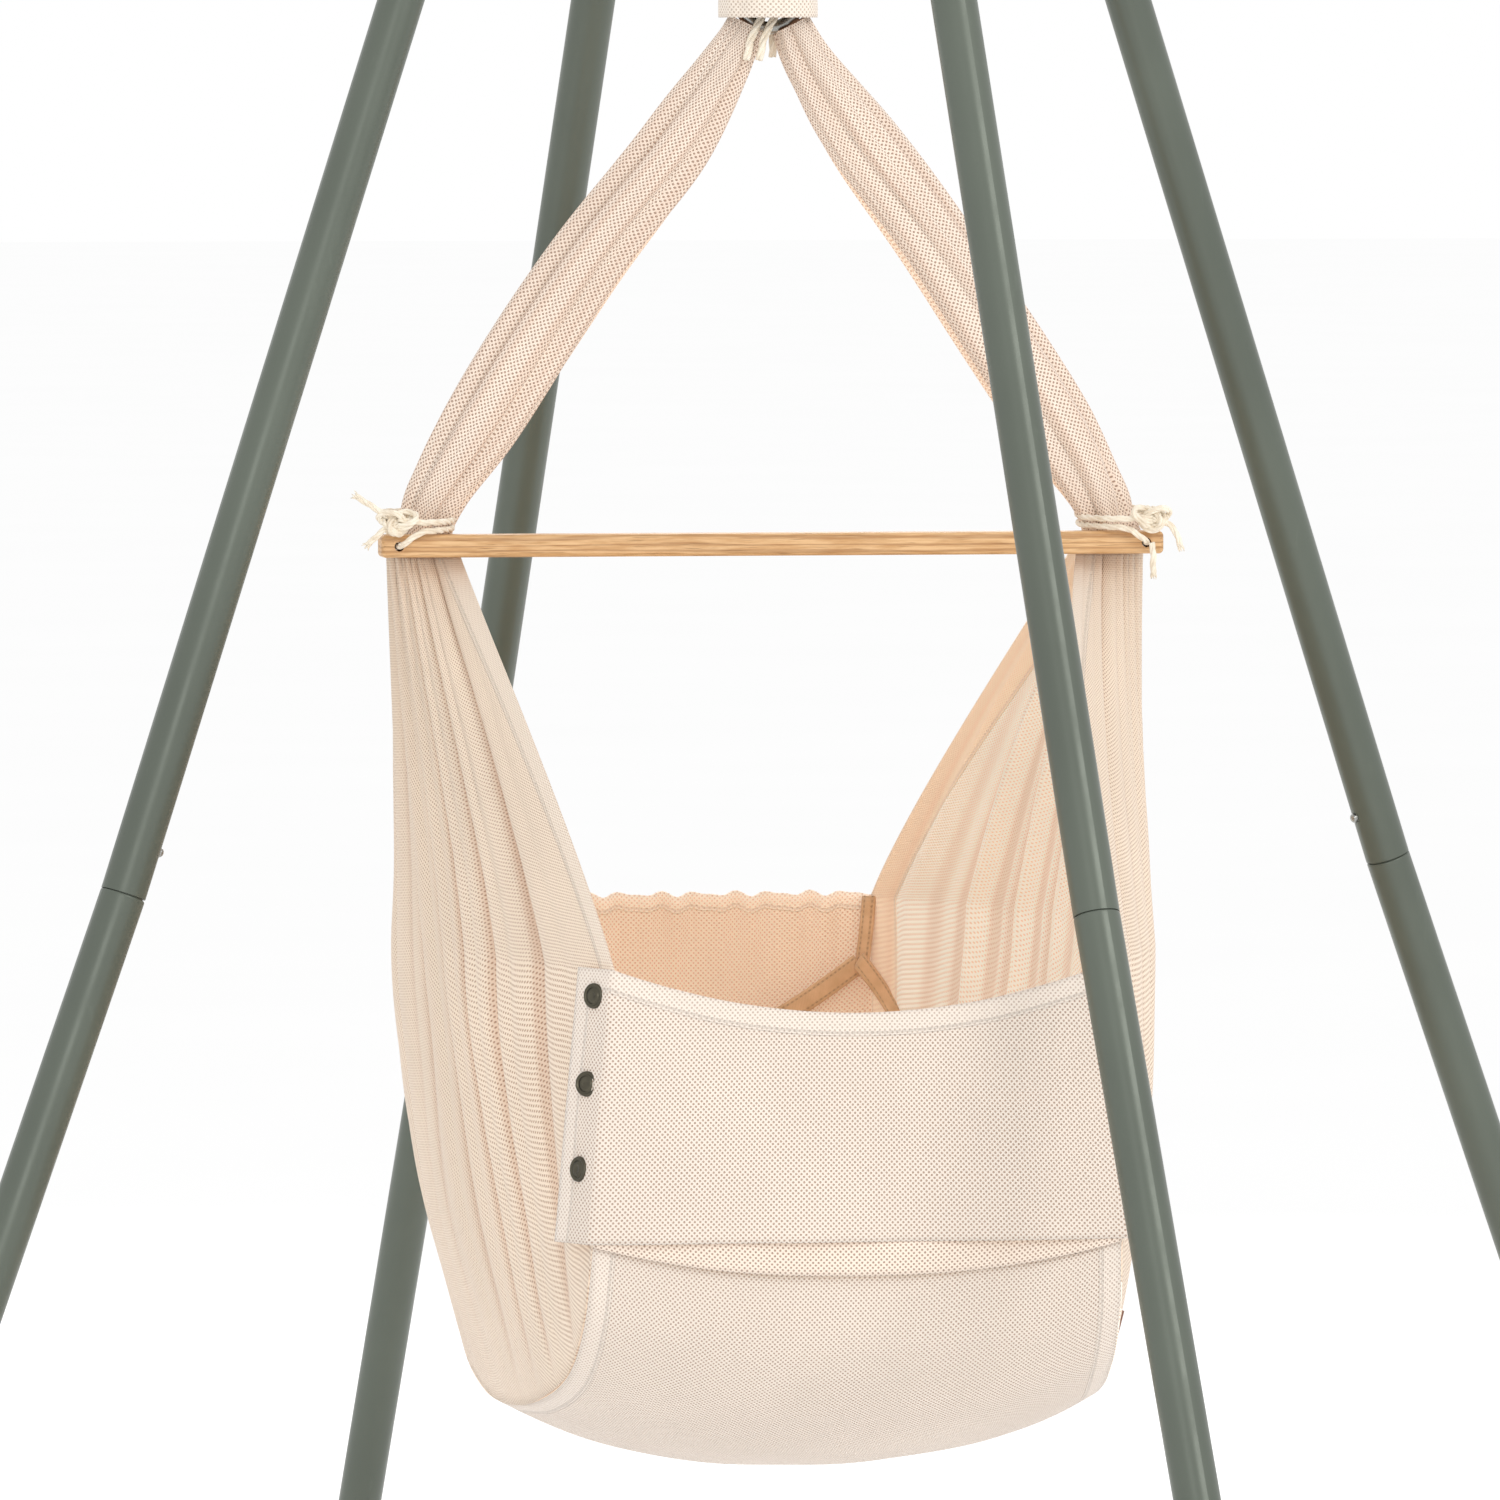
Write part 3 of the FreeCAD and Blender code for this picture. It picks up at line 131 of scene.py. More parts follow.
class Shader:
    """A material under construction, with short ways to add nodes."""

    def __init__(self, name):
        self.material = bpy.data.materials.new(name)
        self.material.use_nodes = True
        self.tree = self.material.node_tree
        self.bsdf = self.tree.nodes["Principled BSDF"]

    def add(self, kind, **settings):
        node = self.tree.nodes.new(kind)
        for key, value in settings.items():
            setattr(node, key, value)
        return node

    def put(self, value, socket):
        """Link an output to a socket, or set the socket to a constant."""
        if isinstance(value, bpy.types.NodeSocket):
            self.tree.links.new(value, socket)
        else:
            socket.default_value = value

    def maths(self, operation, first, second=0.0):
        node = self.add("ShaderNodeMath", operation=operation)
        self.put(first, node.inputs[0])
        self.put(second, node.inputs[1])
        return node.outputs[0]

    def times(self, first, second):
        return self.maths("MULTIPLY", first, second)

    def plus(self, first, second):
        return self.maths("ADD", first, second)

    def minus(self, first, second):
        return self.maths("SUBTRACT", first, second)

    def ramp(self, factor, low_edge, high_edge, to_low=0.0, to_high=1.0):
        node = self.add("ShaderNodeMapRange", interpolation_type="SMOOTHSTEP")
        for socket, value in zip(node.inputs, (factor, low_edge, high_edge, to_low, to_high)):
            self.put(value, socket)
        return node.outputs[0]

    def mix(self, factor, first, second, blend="MIX"):
        node = self.add("ShaderNodeMix", data_type="RGBA", blend_type=blend)
        self.put(factor, node.inputs[0])
        self.put(first, node.inputs[6])
        self.put(second, node.inputs[7])
        return node.outputs[2]

    def uv(self, name="cloth"):
        return self.add("ShaderNodeUVMap", uv_map=name).outputs[0]

    def place(self):
        return self.add("ShaderNodeTexCoord").outputs["Object"]

    def mapped(self, vector, scale=(1, 1, 1), turn=(0, 0, 0)):
        node = self.add("ShaderNodeMapping")
        self.put(vector, node.inputs[0])
        node.inputs["Rotation"].default_value = turn
        node.inputs["Scale"].default_value = scale
        return node.outputs[0]

    def noise(self, vector, scale, detail=3.0, rough=0.5):
        node = self.add("ShaderNodeTexNoise")
        self.put(vector, node.inputs["Vector"])
        node.inputs["Scale"].default_value = scale
        node.inputs["Detail"].default_value = detail
        node.inputs["Roughness"].default_value = rough
        return node.outputs[0]

    def cells(self, vector, scale, randomness, **settings):
        """Distances in a field of cells."""
        node = self.add("ShaderNodeTexVoronoi", **settings)
        self.put(vector, node.inputs["Vector"])
        node.inputs["Scale"].default_value = scale
        node.inputs["Randomness"].default_value = randomness
        return node.outputs["Distance"]

    def attribute(self, name):
        return self.add("ShaderNodeAttribute", attribute_name=name).outputs["Fac"]

    def bump(self, height, distance, strength):
        node = self.add("ShaderNodeBump")
        node.inputs["Strength"].default_value = strength
        node.inputs["Distance"].default_value = distance
        self.put(height, node.inputs["Height"])
        return node.outputs[0]

    def finish(self, colour, rough, normal=None, **constants):
        """Set the surface and return the material; constants name its sockets with _."""
        self.put(colour, self.bsdf.inputs["Base Color"])
        self.put(rough, self.bsdf.inputs["Roughness"])
        if normal is not None:
            self.put(normal, self.bsdf.inputs["Normal"])
        for key, value in constants.items():
            self.bsdf.inputs[key.replace("_", " ")].default_value = value
        return self.material


KNIT_PITCH = 3.3 * MM
# painted shade: the warm darkening that is multiplied into the knit's fold valleys
VALLEY_PAINTED_SHADE = (0.76, 0.60, 0.52, 1)


def knit(name, colour, hole_colour, hem_colour, hem_wide, facing=1, glow=(0, 0, 0, 1)):
    """Open knit with staggered eyelets, on UVs in metres; a hem is doubled and stitched.

    Fold valleys get painted shade, a warmer darkening like that thin cloth shows there; facing is
    -1
    on the inside, and glow is painted light: an emission for the daylight that comes through the
    thin cloth from behind."""
    s = Shader(name)
    cloth = s.uv()
    distance = s.cells(s.mapped(cloth, turn=(0, 0, math.radians(45))),
                       math.sqrt(2) / KNIT_PITCH, 0.06, voronoi_dimensions="2D")
    hole = s.ramp(distance, 0.17, 0.34, 1.0, 0.0)
    uneven = s.noise(cloth, 9.0, 4.0)
    fuzz = s.noise(cloth, 1400.0, 2.0)
    edge = s.attribute("hem")
    doubled = s.ramp(edge, hem_wide - 0.5 * MM, hem_wide + 0.5 * MM, 1.0, 0.0)
    hole = s.times(hole, s.minus(1.0, s.times(doubled, 0.3)))
    shade = s.mix(s.ramp(uneven, 0.35, 0.7), scaled(colour, 0.95), colour)
    shade = s.mix(doubled, shade, hem_colour)
    shade = s.mix(s.times(hole, 0.9), shade, hole_colour)
    # painted shade: the colour is darkened and warmed in the fold valleys
    valley_shade = s.ramp(s.times(s.attribute("fold"), facing), 0.0, 1.0)
    shade = s.mix(s.times(valley_shade, 0.5), shade, VALLEY_PAINTED_SHADE, "MULTIPLY")
    seam = s.ramp(s.maths("ABSOLUTE", s.minus(edge, hem_wide - 2 * MM)),
                  0.4 * MM, 1.1 * MM, 1.0, 0.0)
    dash_wave = s.maths("SINE", s.times(s.attribute("run"), 2 * math.pi / (4.2 * MM)))
    stitch = s.times(seam, s.ramp(dash_wave, -0.35, 0.1))
    shade = s.mix(s.times(seam, 0.35), shade, scaled(colour, 0.6))
    height = s.minus(s.times(fuzz, 0.12), hole)
    height = s.plus(height, s.times(doubled, 1.3))
    height = s.plus(height, s.times(stitch, 0.9))
    height = s.minus(height, s.times(seam, 0.9))
    normal = s.bump(height, 0.6 * MM, 0.9)
    # painted light: the glow, times the cloth colour, is emitted to stand for daylight through the
    # cloth
    s.put(s.mix(1.0, shade, glow, "MULTIPLY"), s.bsdf.inputs["Emission Color"])
    return s.finish(shade, 0.92, normal, Sheen_Weight=0.25, Sheen_Roughness=0.5,
                    Specular_IOR_Level=0.2, Emission_Strength=1.0)


def oak(name):
    """Oiled oak: long grain along X, with darker bands and pores."""
    s = Shader(name)
    place = s.place()
    grain = s.noise(s.mapped(place, scale=(5, 60, 60)), 9.0, 6.0, 0.6)
    wave = s.add("ShaderNodeTexWave", wave_type="BANDS", bands_direction="Z")
    s.put(s.mapped(place, scale=(0.9, 8, 22)), wave.inputs["Vector"])
    wave.inputs["Scale"].default_value = 3.2
    wave.inputs["Distortion"].default_value = 7.0
    wave.inputs["Detail"].default_value = 3.0
    wave.inputs["Detail Scale"].default_value = 1.6
    pores = s.noise(s.mapped(place, scale=(22, 900, 900)), 1.4, 2.0, 0.5)
    dark = rgb(150, 104, 62)
    mid = rgb(200, 154, 104)
    light = rgb(226, 186, 138)
    colour = s.mix(s.ramp(grain, 0.32, 0.68), mid, light)
    colour = s.mix(s.times(s.ramp(wave.outputs[0], 0.55, 0.95), 0.5), colour, dark)
    pore = s.ramp(pores, 0.60, 0.70)
    colour = s.mix(s.times(pore, 0.55), colour, dark)
    height = s.minus(s.times(grain, 0.3), pore)
    rough = s.ramp(grain, 0.2, 0.8, 0.52, 0.40)
    return s.finish(colour, rough, s.bump(height, 0.25 * MM, 0.7), Specular_IOR_Level=0.4)


def painted(name, colour):
    """Satin powder coat: fine orange peel, slight colour change and rubbed patches."""
    s = Shader(name)
    place = s.place()
    broad = s.noise(place, 6.0, 3.0)
    peel = s.noise(place, 900.0, 2.0)
    rub = s.noise(s.mapped(place, scale=(1, 1, 0.25)), 60.0, 5.0, 0.65)
    tint = s.mix(s.ramp(broad, 0.3, 0.7), scaled(colour, 0.86), colour)
    tint = s.mix(s.times(s.ramp(rub, 0.62, 0.78), 0.18), tint, scaled(colour, 1.7))
    rough = s.ramp(rub, 0.3, 0.8, 0.30, 0.42)
    return s.finish(tint, rough, s.bump(peel, 0.05 * MM, 0.35), Metallic=0.25,
                    Specular_IOR_Level=0.5)


def metal(name, colour, rough):
    """Plated or drawn metal with fine scratches and clouded patches."""
    s = Shader(name)
    place = s.place()
    cloud = s.noise(place, 90.0, 4.0)
    fine = s.noise(s.mapped(place, scale=(1, 1, 12)), 700.0, 2.0)
    tint = s.mix(s.ramp(cloud, 0.3, 0.75), scaled(colour, 0.75), colour)
    return s.finish(tint, s.ramp(cloud, 0.25, 0.8, rough - 0.1, rough + 0.1),
                    s.bump(fine, 0.03 * MM, 0.4), Metallic=1.0)


def rubber(name, colour):
    """Matt moulded rubber or plastic with a fine sand grain."""
    s = Shader(name)
    place = s.place()
    grain = s.noise(place, 1600.0, 2.0)
    dust = s.noise(place, 40.0, 4.0)
    dusty = tuple(c * 1.5 + 0.01 for c in colour[:3]) + (1.0,)
    tint = s.mix(s.ramp(dust, 0.5, 0.8), colour, dusty)
    return s.finish(tint, s.ramp(dust, 0.3, 0.8, 0.62, 0.8), s.bump(grain, 0.06 * MM, 0.6))


def fibre(name, colour, shadow):
    """Cotton fibres of a cord: fine fuzz and broad random patches of a darker colour."""
    s = Shader(name)
    place = s.place()
    fuzz = s.noise(place, 2600.0, 3.0)
    broad = s.noise(place, 160.0, 3.0)
    tint = s.mix(s.ramp(broad, 0.3, 0.7), shadow, colour)
    return s.finish(tint, 0.95, s.bump(fuzz, 0.15 * MM, 0.8), Sheen_Weight=0.3)


def felt(name, colour, dark):
    """Soft brushed cotton with a fine close weave, free of UVs."""
    s = Shader(name)
    place = s.place()
    weave = s.cells(place, 700.0, 0.35)
    broad = s.noise(place, 18.0, 4.0)
    tint = s.mix(s.ramp(broad, 0.3, 0.7), dark, colour)
    return s.finish(tint, 0.93, s.bump(weave, 0.3 * MM, 0.6),
                    Sheen_Weight=0.3)


def stitched_tape(name, colour, dark):
    """Close cotton twill tape with a line of stitches along each edge."""
    s = Shader(name)
    cloth = s.uv()
    twill = s.add("ShaderNodeTexWave", wave_type="BANDS", bands_direction="DIAGONAL")
    s.put(cloth, twill.inputs["Vector"])
    twill.inputs["Scale"].default_value = 260.0
    broad = s.noise(s.place(), 60.0, 4.0)
    edge = s.ramp(s.maths("ABSOLUTE", s.minus(s.attribute("hem"), 2.2 * MM)),
                  0.3 * MM, 0.8 * MM, 1.0, 0.0)
    dashes = s.maths("SINE", s.times(s.attribute("run"), 2 * math.pi / (3.4 * MM)))
    thread = s.times(edge, s.ramp(dashes, -0.3, 0.1))
    tint = s.mix(s.ramp(broad, 0.3, 0.7), dark, colour)
    tint = s.mix(s.times(edge, 0.55), tint, scaled(dark, 0.5))
    tint = s.mix(s.times(thread, 0.5), tint, colour)
    height = s.plus(s.times(twill.outputs[0], 0.3), thread)
    height = s.minus(height, edge)
    return s.finish(tint, 0.9, s.bump(height, 0.4 * MM, 0.8), Sheen_Weight=0.2)


def leather(name, colour):
    """Smooth tan leather with pebbled grain and darker creases."""
    s = Shader(name)
    place = s.place()
    crease = s.ramp(s.cells(place, 900.0, 1.0, feature="DISTANCE_TO_EDGE"), 0.0, 0.12)
    broad = s.noise(place, 60.0, 4.0)
    tint = s.mix(s.ramp(broad, 0.3, 0.75), scaled(colour, 0.7), colour)
    tint = s.mix(crease, scaled(colour, 0.6), tint)
    return s.finish(tint, 0.5, s.bump(crease, 0.12 * MM, 0.6))


OUTER = knit("cream_knit", rgb(236, 223, 210), rgb(180, 150, 130), rgb(236, 224, 212), 14 * MM)
SIDE_KNIT = knit("warm_cream_knit", rgb(244, 225, 204), rgb(188, 152, 126), rgb(240, 225, 208),
                 14 * MM)
# the last argument of each lining is painted light: a glow emitted for the daylight through the
# thin cloth
LINING = knit("light_peach_knit", rgb(252, 242, 228), rgb(232, 200, 172), rgb(248, 222, 196),
              26 * MM, -1, (0.17, 0.19, 0.20, 1))
BACK_LINING = knit("peach_knit", rgb(252, 230, 208), rgb(226, 184, 154), rgb(252, 233, 213),
                   11 * MM, -1, (0.13, 0.11, 0.10, 1))
BUNDLE_KNIT = knit("bundle_knit", rgb(246, 229, 213), rgb(172, 140, 120), rgb(246, 229, 213),
                   14 * MM)
COVER_KNIT = knit("cover_knit", rgb(241, 228, 214), rgb(180, 152, 132), rgb(242, 230, 216),
                  22 * MM)
BINDING = stitched_tape("brown_binding", rgb(226, 184, 144), rgb(206, 164, 124))
PAD = felt("mattress_cotton", rgb(243, 226, 206), rgb(237, 217, 194))
OAK = oak("oiled_oak")
PAINT = painted("green_grey_paint", rgb(94, 101, 91))
ZINC = metal("zinc_plate", rgb(176, 176, 172), 0.32)
WIRE = metal("drawn_wire", rgb(150, 150, 150), 0.36)
SNAP = metal("burnished_snap", rgb(92, 88, 76), 0.34)
RUBBER = rubber("black_rubber", rgb(40, 40, 40))
CAP_PLASTIC = rubber("cap_plastic", rgb(84, 84, 74))
CORD = fibre("cotton_fibre", rgb(247, 238, 221), rgb(230, 216, 194))
TAG = leather("tan_leather", rgb(150, 92, 56))


# ---------------- mesh helpers

def new_object(name, vertices, faces, materials):
    mesh = bpy.data.meshes.new(name)
    mesh.from_pydata([tuple(v) for v in vertices], [], faces)
    for material in materials:
        mesh.materials.append(material)
    for polygon in mesh.polygons:
        polygon.use_smooth = True
    mesh.update()
    obj = bpy.data.objects.new(name, mesh)
    bpy.context.scene.collection.objects.link(obj)
    return obj


def grid_faces(rows, columns, closed=True):
    """Quads between neighbouring rows of vertices; closed joins each row's two ends."""
    faces = []
    for r in range(rows - 1):
        for c in range(columns if closed else columns - 1):
            n = (c + 1) % columns
            faces.append((r * columns + c, r * columns + n, (r + 1) * columns + n,
                          (r + 1) * columns + c))
    return faces


def end_faces(rows, sides):
    """The two flat ends of a closed grid."""
    base = (rows - 1) * sides
    return [tuple(range(sides))[::-1], tuple(range(base, base + sides))]


def circle(count):
    """Evenly spaced angles round a full turn, without the last one."""
    return [2 * math.pi * n / count for n in range(count)]


def spread(count, first, last):
    """Evenly spaced numbers from first to last."""
    return [first + (last - first) * n / (count - 1) for n in range(count)]


def running(points):
    """The distance along a line of points to each of them."""
    total = [0.0]
    for a, b in zip(points, points[1:]):
        total.append(total[-1] + (b - a).length)
    return total


# depth of a fold whose valley gets the full painted shade: a fixed part, and a part for each
# column of reach
FOLD_DEEP = 1.0 * MM
FOLD_DEEP_PER_COLUMN = 0.25 * MM


def cloth_grid(name, point, us, vs, materials, thickness=CLOTH, hems=(), closed=False,
               outside=1, reach=0):
    """A sheet through point(u, v), with UVs in metres, hem distances and a thickness.

    hems names the edges that are hemmed: u0, u1, v0, v1.  closed joins the last u to the
    first.  The second material, if there is one, is the inner face's.  outside is 1 where
    the normals point out, and reach is the half width in columns of folds to paint shade in."""
    rows = [[Vector(point(u, v)) for u in us] for v in vs]
    columns = len(us)
    run_u = [running(row) for row in rows]
    run_v = list(zip(*[running(column) for column in zip(*rows)]))
    widest = max(range(len(vs)), key=lambda r: run_u[r][-1])
    obj = new_object(name, [p for row in rows for p in row],
                     grid_faces(len(vs), columns, closed), materials)
    mesh = obj.data
    layer = mesh.uv_layers.new(name="cloth")
    girth = run_u[widest][-1] + (rows[widest][0] - rows[widest][-1]).length
    for polygon in mesh.polygons:
        wraps = closed and polygon.index % columns == columns - 1
        for index in polygon.loop_indices:
            r, c = divmod(mesh.loops[index].vertex_index, columns)
            u = girth if wraps and c == 0 else run_u[widest][c]
            layer.data[index].uv = (u, run_v[r][c])
    hem, run, fold = [mesh.attributes.new(kind, "FLOAT", "POINT")
                      for kind in ("hem", "run", "fold")]
    deep = FOLD_DEEP + FOLD_DEEP_PER_COLUMN * reach
    for r in range(len(vs)):
        for c in range(columns):
            across = {"u0": run_u[r][c], "u1": run_u[r][-1] - run_u[r][c],
                      "v0": run_v[r][c], "v1": run_v[-1][c] - run_v[r][c]}
            nearest = min(hems, key=lambda edge: across[edge], default=None)
            hem.data[r * columns + c].value = across[nearest] if nearest else 1.0
            if nearest:
                run.data[r * columns + c].value = (run_v[r][c] if nearest[0] == "u"
                                                   else run_u[widest][c])
            here = rows[r][c]
            before = rows[r][(c - reach) % columns if closed else max(c - reach, 0)]
            after = rows[r][(c + reach) % columns if closed else min(c + reach, columns - 1)]
            # the fold attribute is the mask of the painted shade in fold valleys
            hollow = ((before + after) / 2 - here).dot(mesh.vertices[r * columns + c].normal)
            fold.data[r * columns + c].value = outside * hollow / deep
    if thickness:
        solid = obj.modifiers.new("thickness", "SOLIDIFY")
        solid.thickness = thickness
        solid.offset = 0.0
        solid.use_even_offset = False
        if len(materials) > 1:
            solid.material_offset = 1
    return obj


def tube(name, centres, radii, material, sides):
    """A round tube mesh along points, with parallel-carried frames and closed ends."""
    vertices = []
    tangent = (centres[1] - centres[0]).normalized()
    side = tangent.orthogonal().normalized()
    for i, centre in enumerate(centres):
        ahead = centres[min(i + 1, len(centres) - 1)] - centres[max(i - 1, 0)]
        new_tangent = ahead.normalized()
        side = (side - new_tangent * side.dot(new_tangent)).normalized()
        up = new_tangent.cross(side)
        for angle in circle(sides):
            offset = side * math.cos(angle) + up * math.sin(angle)
            vertices.append(centre + offset * radii[i])
    faces = grid_faces(len(centres), sides) + end_faces(len(centres), sides)
    return new_object(name, vertices, faces, [material])


def route_points(points, step):
    """Evenly spaced points of the smooth NURBS line that has these control points."""
    curve = bpy.data.curves.new("route", "CURVE")
    curve.dimensions = "3D"
    curve.resolution_u = 24
    spline = curve.splines.new("NURBS")
    spline.points.add(len(points) - 1)
    for target, p in zip(spline.points, points):
        target.co = (*p, 1)
    spline.order_u = 3
    spline.use_endpoint_u = True
    holder = bpy.data.objects.new("route", curve)
    mesh = bpy.data.meshes.new_from_object(holder)
    line = [v.co.copy() for v in mesh.vertices]
    bpy.data.objects.remove(holder)
    bpy.data.meshes.remove(mesh)
    bpy.data.curves.remove(curve)
    lengths = running(line)
    count = max(4, int(lengths[-1] / step))
    result, i = [], 0
    for n in range(count + 1):
        target = lengths[-1] * n / count
        while i < len(line) - 2 and lengths[i + 1] < target:
            i += 1
        share = (target - lengths[i]) / max(lengths[i + 1] - lengths[i], 1e-9)
        result.append(line[i].lerp(line[i + 1], share))
    return result


def join(name, objects):
    """One object out of several."""
    bpy.ops.object.select_all(action="DESELECT")
    for obj in objects:
        obj.select_set(True)
    bpy.context.view_layer.objects.active = objects[0]
    bpy.ops.object.join()
    objects[0].name = name
    objects[0].data.name = name
    return objects[0]


def stand_in(piece, node, body="cradle"):
    """Let a piece ride on its body in place of a CAD node, which is hidden."""
    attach(piece, body)
    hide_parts(node)


def apply_modifiers(obj):
    """Turn an object's modifiers into its mesh."""
    graph = bpy.context.evaluated_depsgraph_get()
    mesh = bpy.data.meshes.new_from_object(obj.evaluated_get(graph))
    obj.modifiers.clear()
    obj.data = mesh
    return obj


def rope(name, line, diameter):
    """Twisted cord: three strands wound round a line."""
    made = []
    strands = 3
    lay = 7.0 * diameter
    strand = diameter * 0.27
    orbit = diameter * 0.25
    step = running(line)[-1] / (len(line) - 1)
    tangent = (line[1] - line[0]).normalized()
    first_side = tangent.orthogonal().normalized()
    for number in range(strands):
        side = first_side.copy()
        points, radii = [], []
        for i, centre in enumerate(line):
            ahead = (line[min(i + 1, len(line) - 1)] - line[max(i - 1, 0)]).normalized()
            side = (side - ahead * side.dot(ahead)).normalized()
            up = ahead.cross(side)
            angle = 2 * math.pi * (i * step / lay + number / strands)
            points.append(centre + (side * math.cos(angle) + up * math.sin(angle)) * orbit)
            radii.append(strand)
        made.append(tube(f"{name}_{number}", points, radii, CORD, 8))
    return join(name, made)


def fray(name, end, direction, diameter):
    """The loose fibres at a cut cord's end."""
    made = []
    direction = direction.normalized()
    side = direction.orthogonal().normalized()
    up = direction.cross(side)
    for n, angle in enumerate(circle(9)):
        spray = side * math.cos(angle) + up * math.sin(angle)
        length = diameter * (0.7 + 0.3 * math.sin(n * 2.4))
        points = [end - direction * diameter * 0.3 + spray * diameter * 0.22,
                  end + direction * length * 0.5 + spray * diameter * 0.42,
                  end + direction * length + spray * diameter * (0.55 + 0.2 * math.sin(n * 5))]
        made.append(tube(f"{name}_{n}", points, [diameter * 0.16, diameter * 0.13,
                                                 diameter * 0.04], CORD, 6))
    return join(name, made)


# ---------------- camera, floor and light

VIEW_AZIMUTH = math.radians(-8.5)
VIEW_ELEVATION = math.radians(3.0)
VIEW_DISTANCE = 9.0
VIEW_WIDTH = 0.932
VIEW_ASIDE = -11.8 * MM
VIEW_HEIGHT = 725.4 * MM
SENSOR = 36.0
FLOOR_REACH = 60.0
LAMP_AIM = Vector((0, 0, 0.8))


def build_stage():
    """Camera before the foot end, a pale floor and soft studio light."""
    target = Vector((VIEW_ASIDE * math.cos(VIEW_AZIMUTH), VIEW_ASIDE * math.sin(VIEW_AZIMUTH),
                     VIEW_HEIGHT))
    back = Vector((math.sin(VIEW_AZIMUTH) * math.cos(VIEW_ELEVATION),
                   -math.cos(VIEW_AZIMUTH) * math.cos(VIEW_ELEVATION),
                   math.sin(VIEW_ELEVATION)))
    lens = bpy.data.cameras.new("camera")
    lens.sensor_width = SENSOR
    lens.lens = SENSOR * VIEW_DISTANCE / VIEW_WIDTH
    lens.clip_end = 200
    camera = bpy.data.objects.new("camera", lens)
    camera.location = target + back * VIEW_DISTANCE
    camera.rotation_euler = (-back).to_track_quat("-Z", "Y").to_euler()
    bpy.context.scene.collection.objects.link(camera)
    bpy.context.scene.camera = camera

    s = Shader("pale_floor")
    mottled = s.mix(s.noise(s.place(), 1.5, 3.0), (0.97, 0.97, 0.97, 1), (0.988, 0.988, 0.988, 1))
    floor_material = s.finish(mottled, 0.9, Specular_IOR_Level=0.0)
    corners = [(x * FLOOR_REACH, y * FLOOR_REACH, 0)
               for x, y in ((-1, -1), (1, -1), (1, 1), (-1, 1))]
    floor = new_object("floor", corners, [(0, 1, 2, 3)], [floor_material])

    world = bpy.data.worlds.new("studio")
    world.use_nodes = True
    sky = world.node_tree.nodes["Background"]
    sky.inputs["Color"].default_value = (1, 1, 1, 1)
    sky.inputs["Strength"].default_value = 1.0
    bpy.context.scene.view_settings.view_transform = "Standard"
    bpy.context.scene.world = world
    for name, place, size, power, colour in (
            ("key", (2.4, -3.6, 3.2), 1.8, 48, (1.0, 0.985, 0.96)),
            ("front", (-1.2, -4.6, 1.5), 1.6, 26, (1.0, 0.99, 0.98)),
            ("rim", (0.8, 3.6, 2.8), 2.2, 40, (1.0, 1.0, 1.0))):
        lamp = bpy.data.lights.new(name, "AREA")
        lamp.size = size
        lamp.energy = power
        lamp.color = colour
        holder = bpy.data.objects.new(name, lamp)
        holder.location = place
        holder.rotation_euler = (LAMP_AIM - Vector(place)).to_track_quat("-Z", "Y").to_euler()
        bpy.context.scene.collection.objects.link(holder)


# ---------------- the cradle's cloth

def belly_point(share, across):
    """The cradle's floor; across runs from -1 at the left seam to 1 at the right."""
    y = along([(s, y) for s, y, _ in BELLY], share) * MM
    z = along([(s, z) for s, _, z in BELLY], share) * MM
    rise = along(FLOOR_RISE, share) * MM * abs(across) ** 2.4
    return Vector((across * along(FLOOR_WIDTH, share) * MM, y, z + rise))


def rim_width(share):
    end = RIM_FRONT if share < 0.5 else RIM_REAR
    return end + (RIM_MIDDLE - end) * (1 - abs(2 * share - 1) ** 2.2)


def pleat(share, count, drift):
    """Uneven pleats, round on top and sharp between: 0.05 on top and -0.95 between."""
    bent = share + 0.022 * math.sin(2 * math.pi * 2.3 * share + drift)
    wide = abs(math.sin(math.pi * count * bent + drift)) ** 0.8
    narrow = abs(math.sin(math.pi * count * 2.1 * bent + 1.9 * drift))
    return 0.75 * wide + 0.25 * narrow - 0.95


# (drop, height of the pleats in mm)
FULLNESS = [(0.0, 6.5), (0.15, 9.0), (0.5, 14.0), (1.0, 14.0), (1.5, 9.0), (1.85, 4.0),
            (2.0, 0.0)]


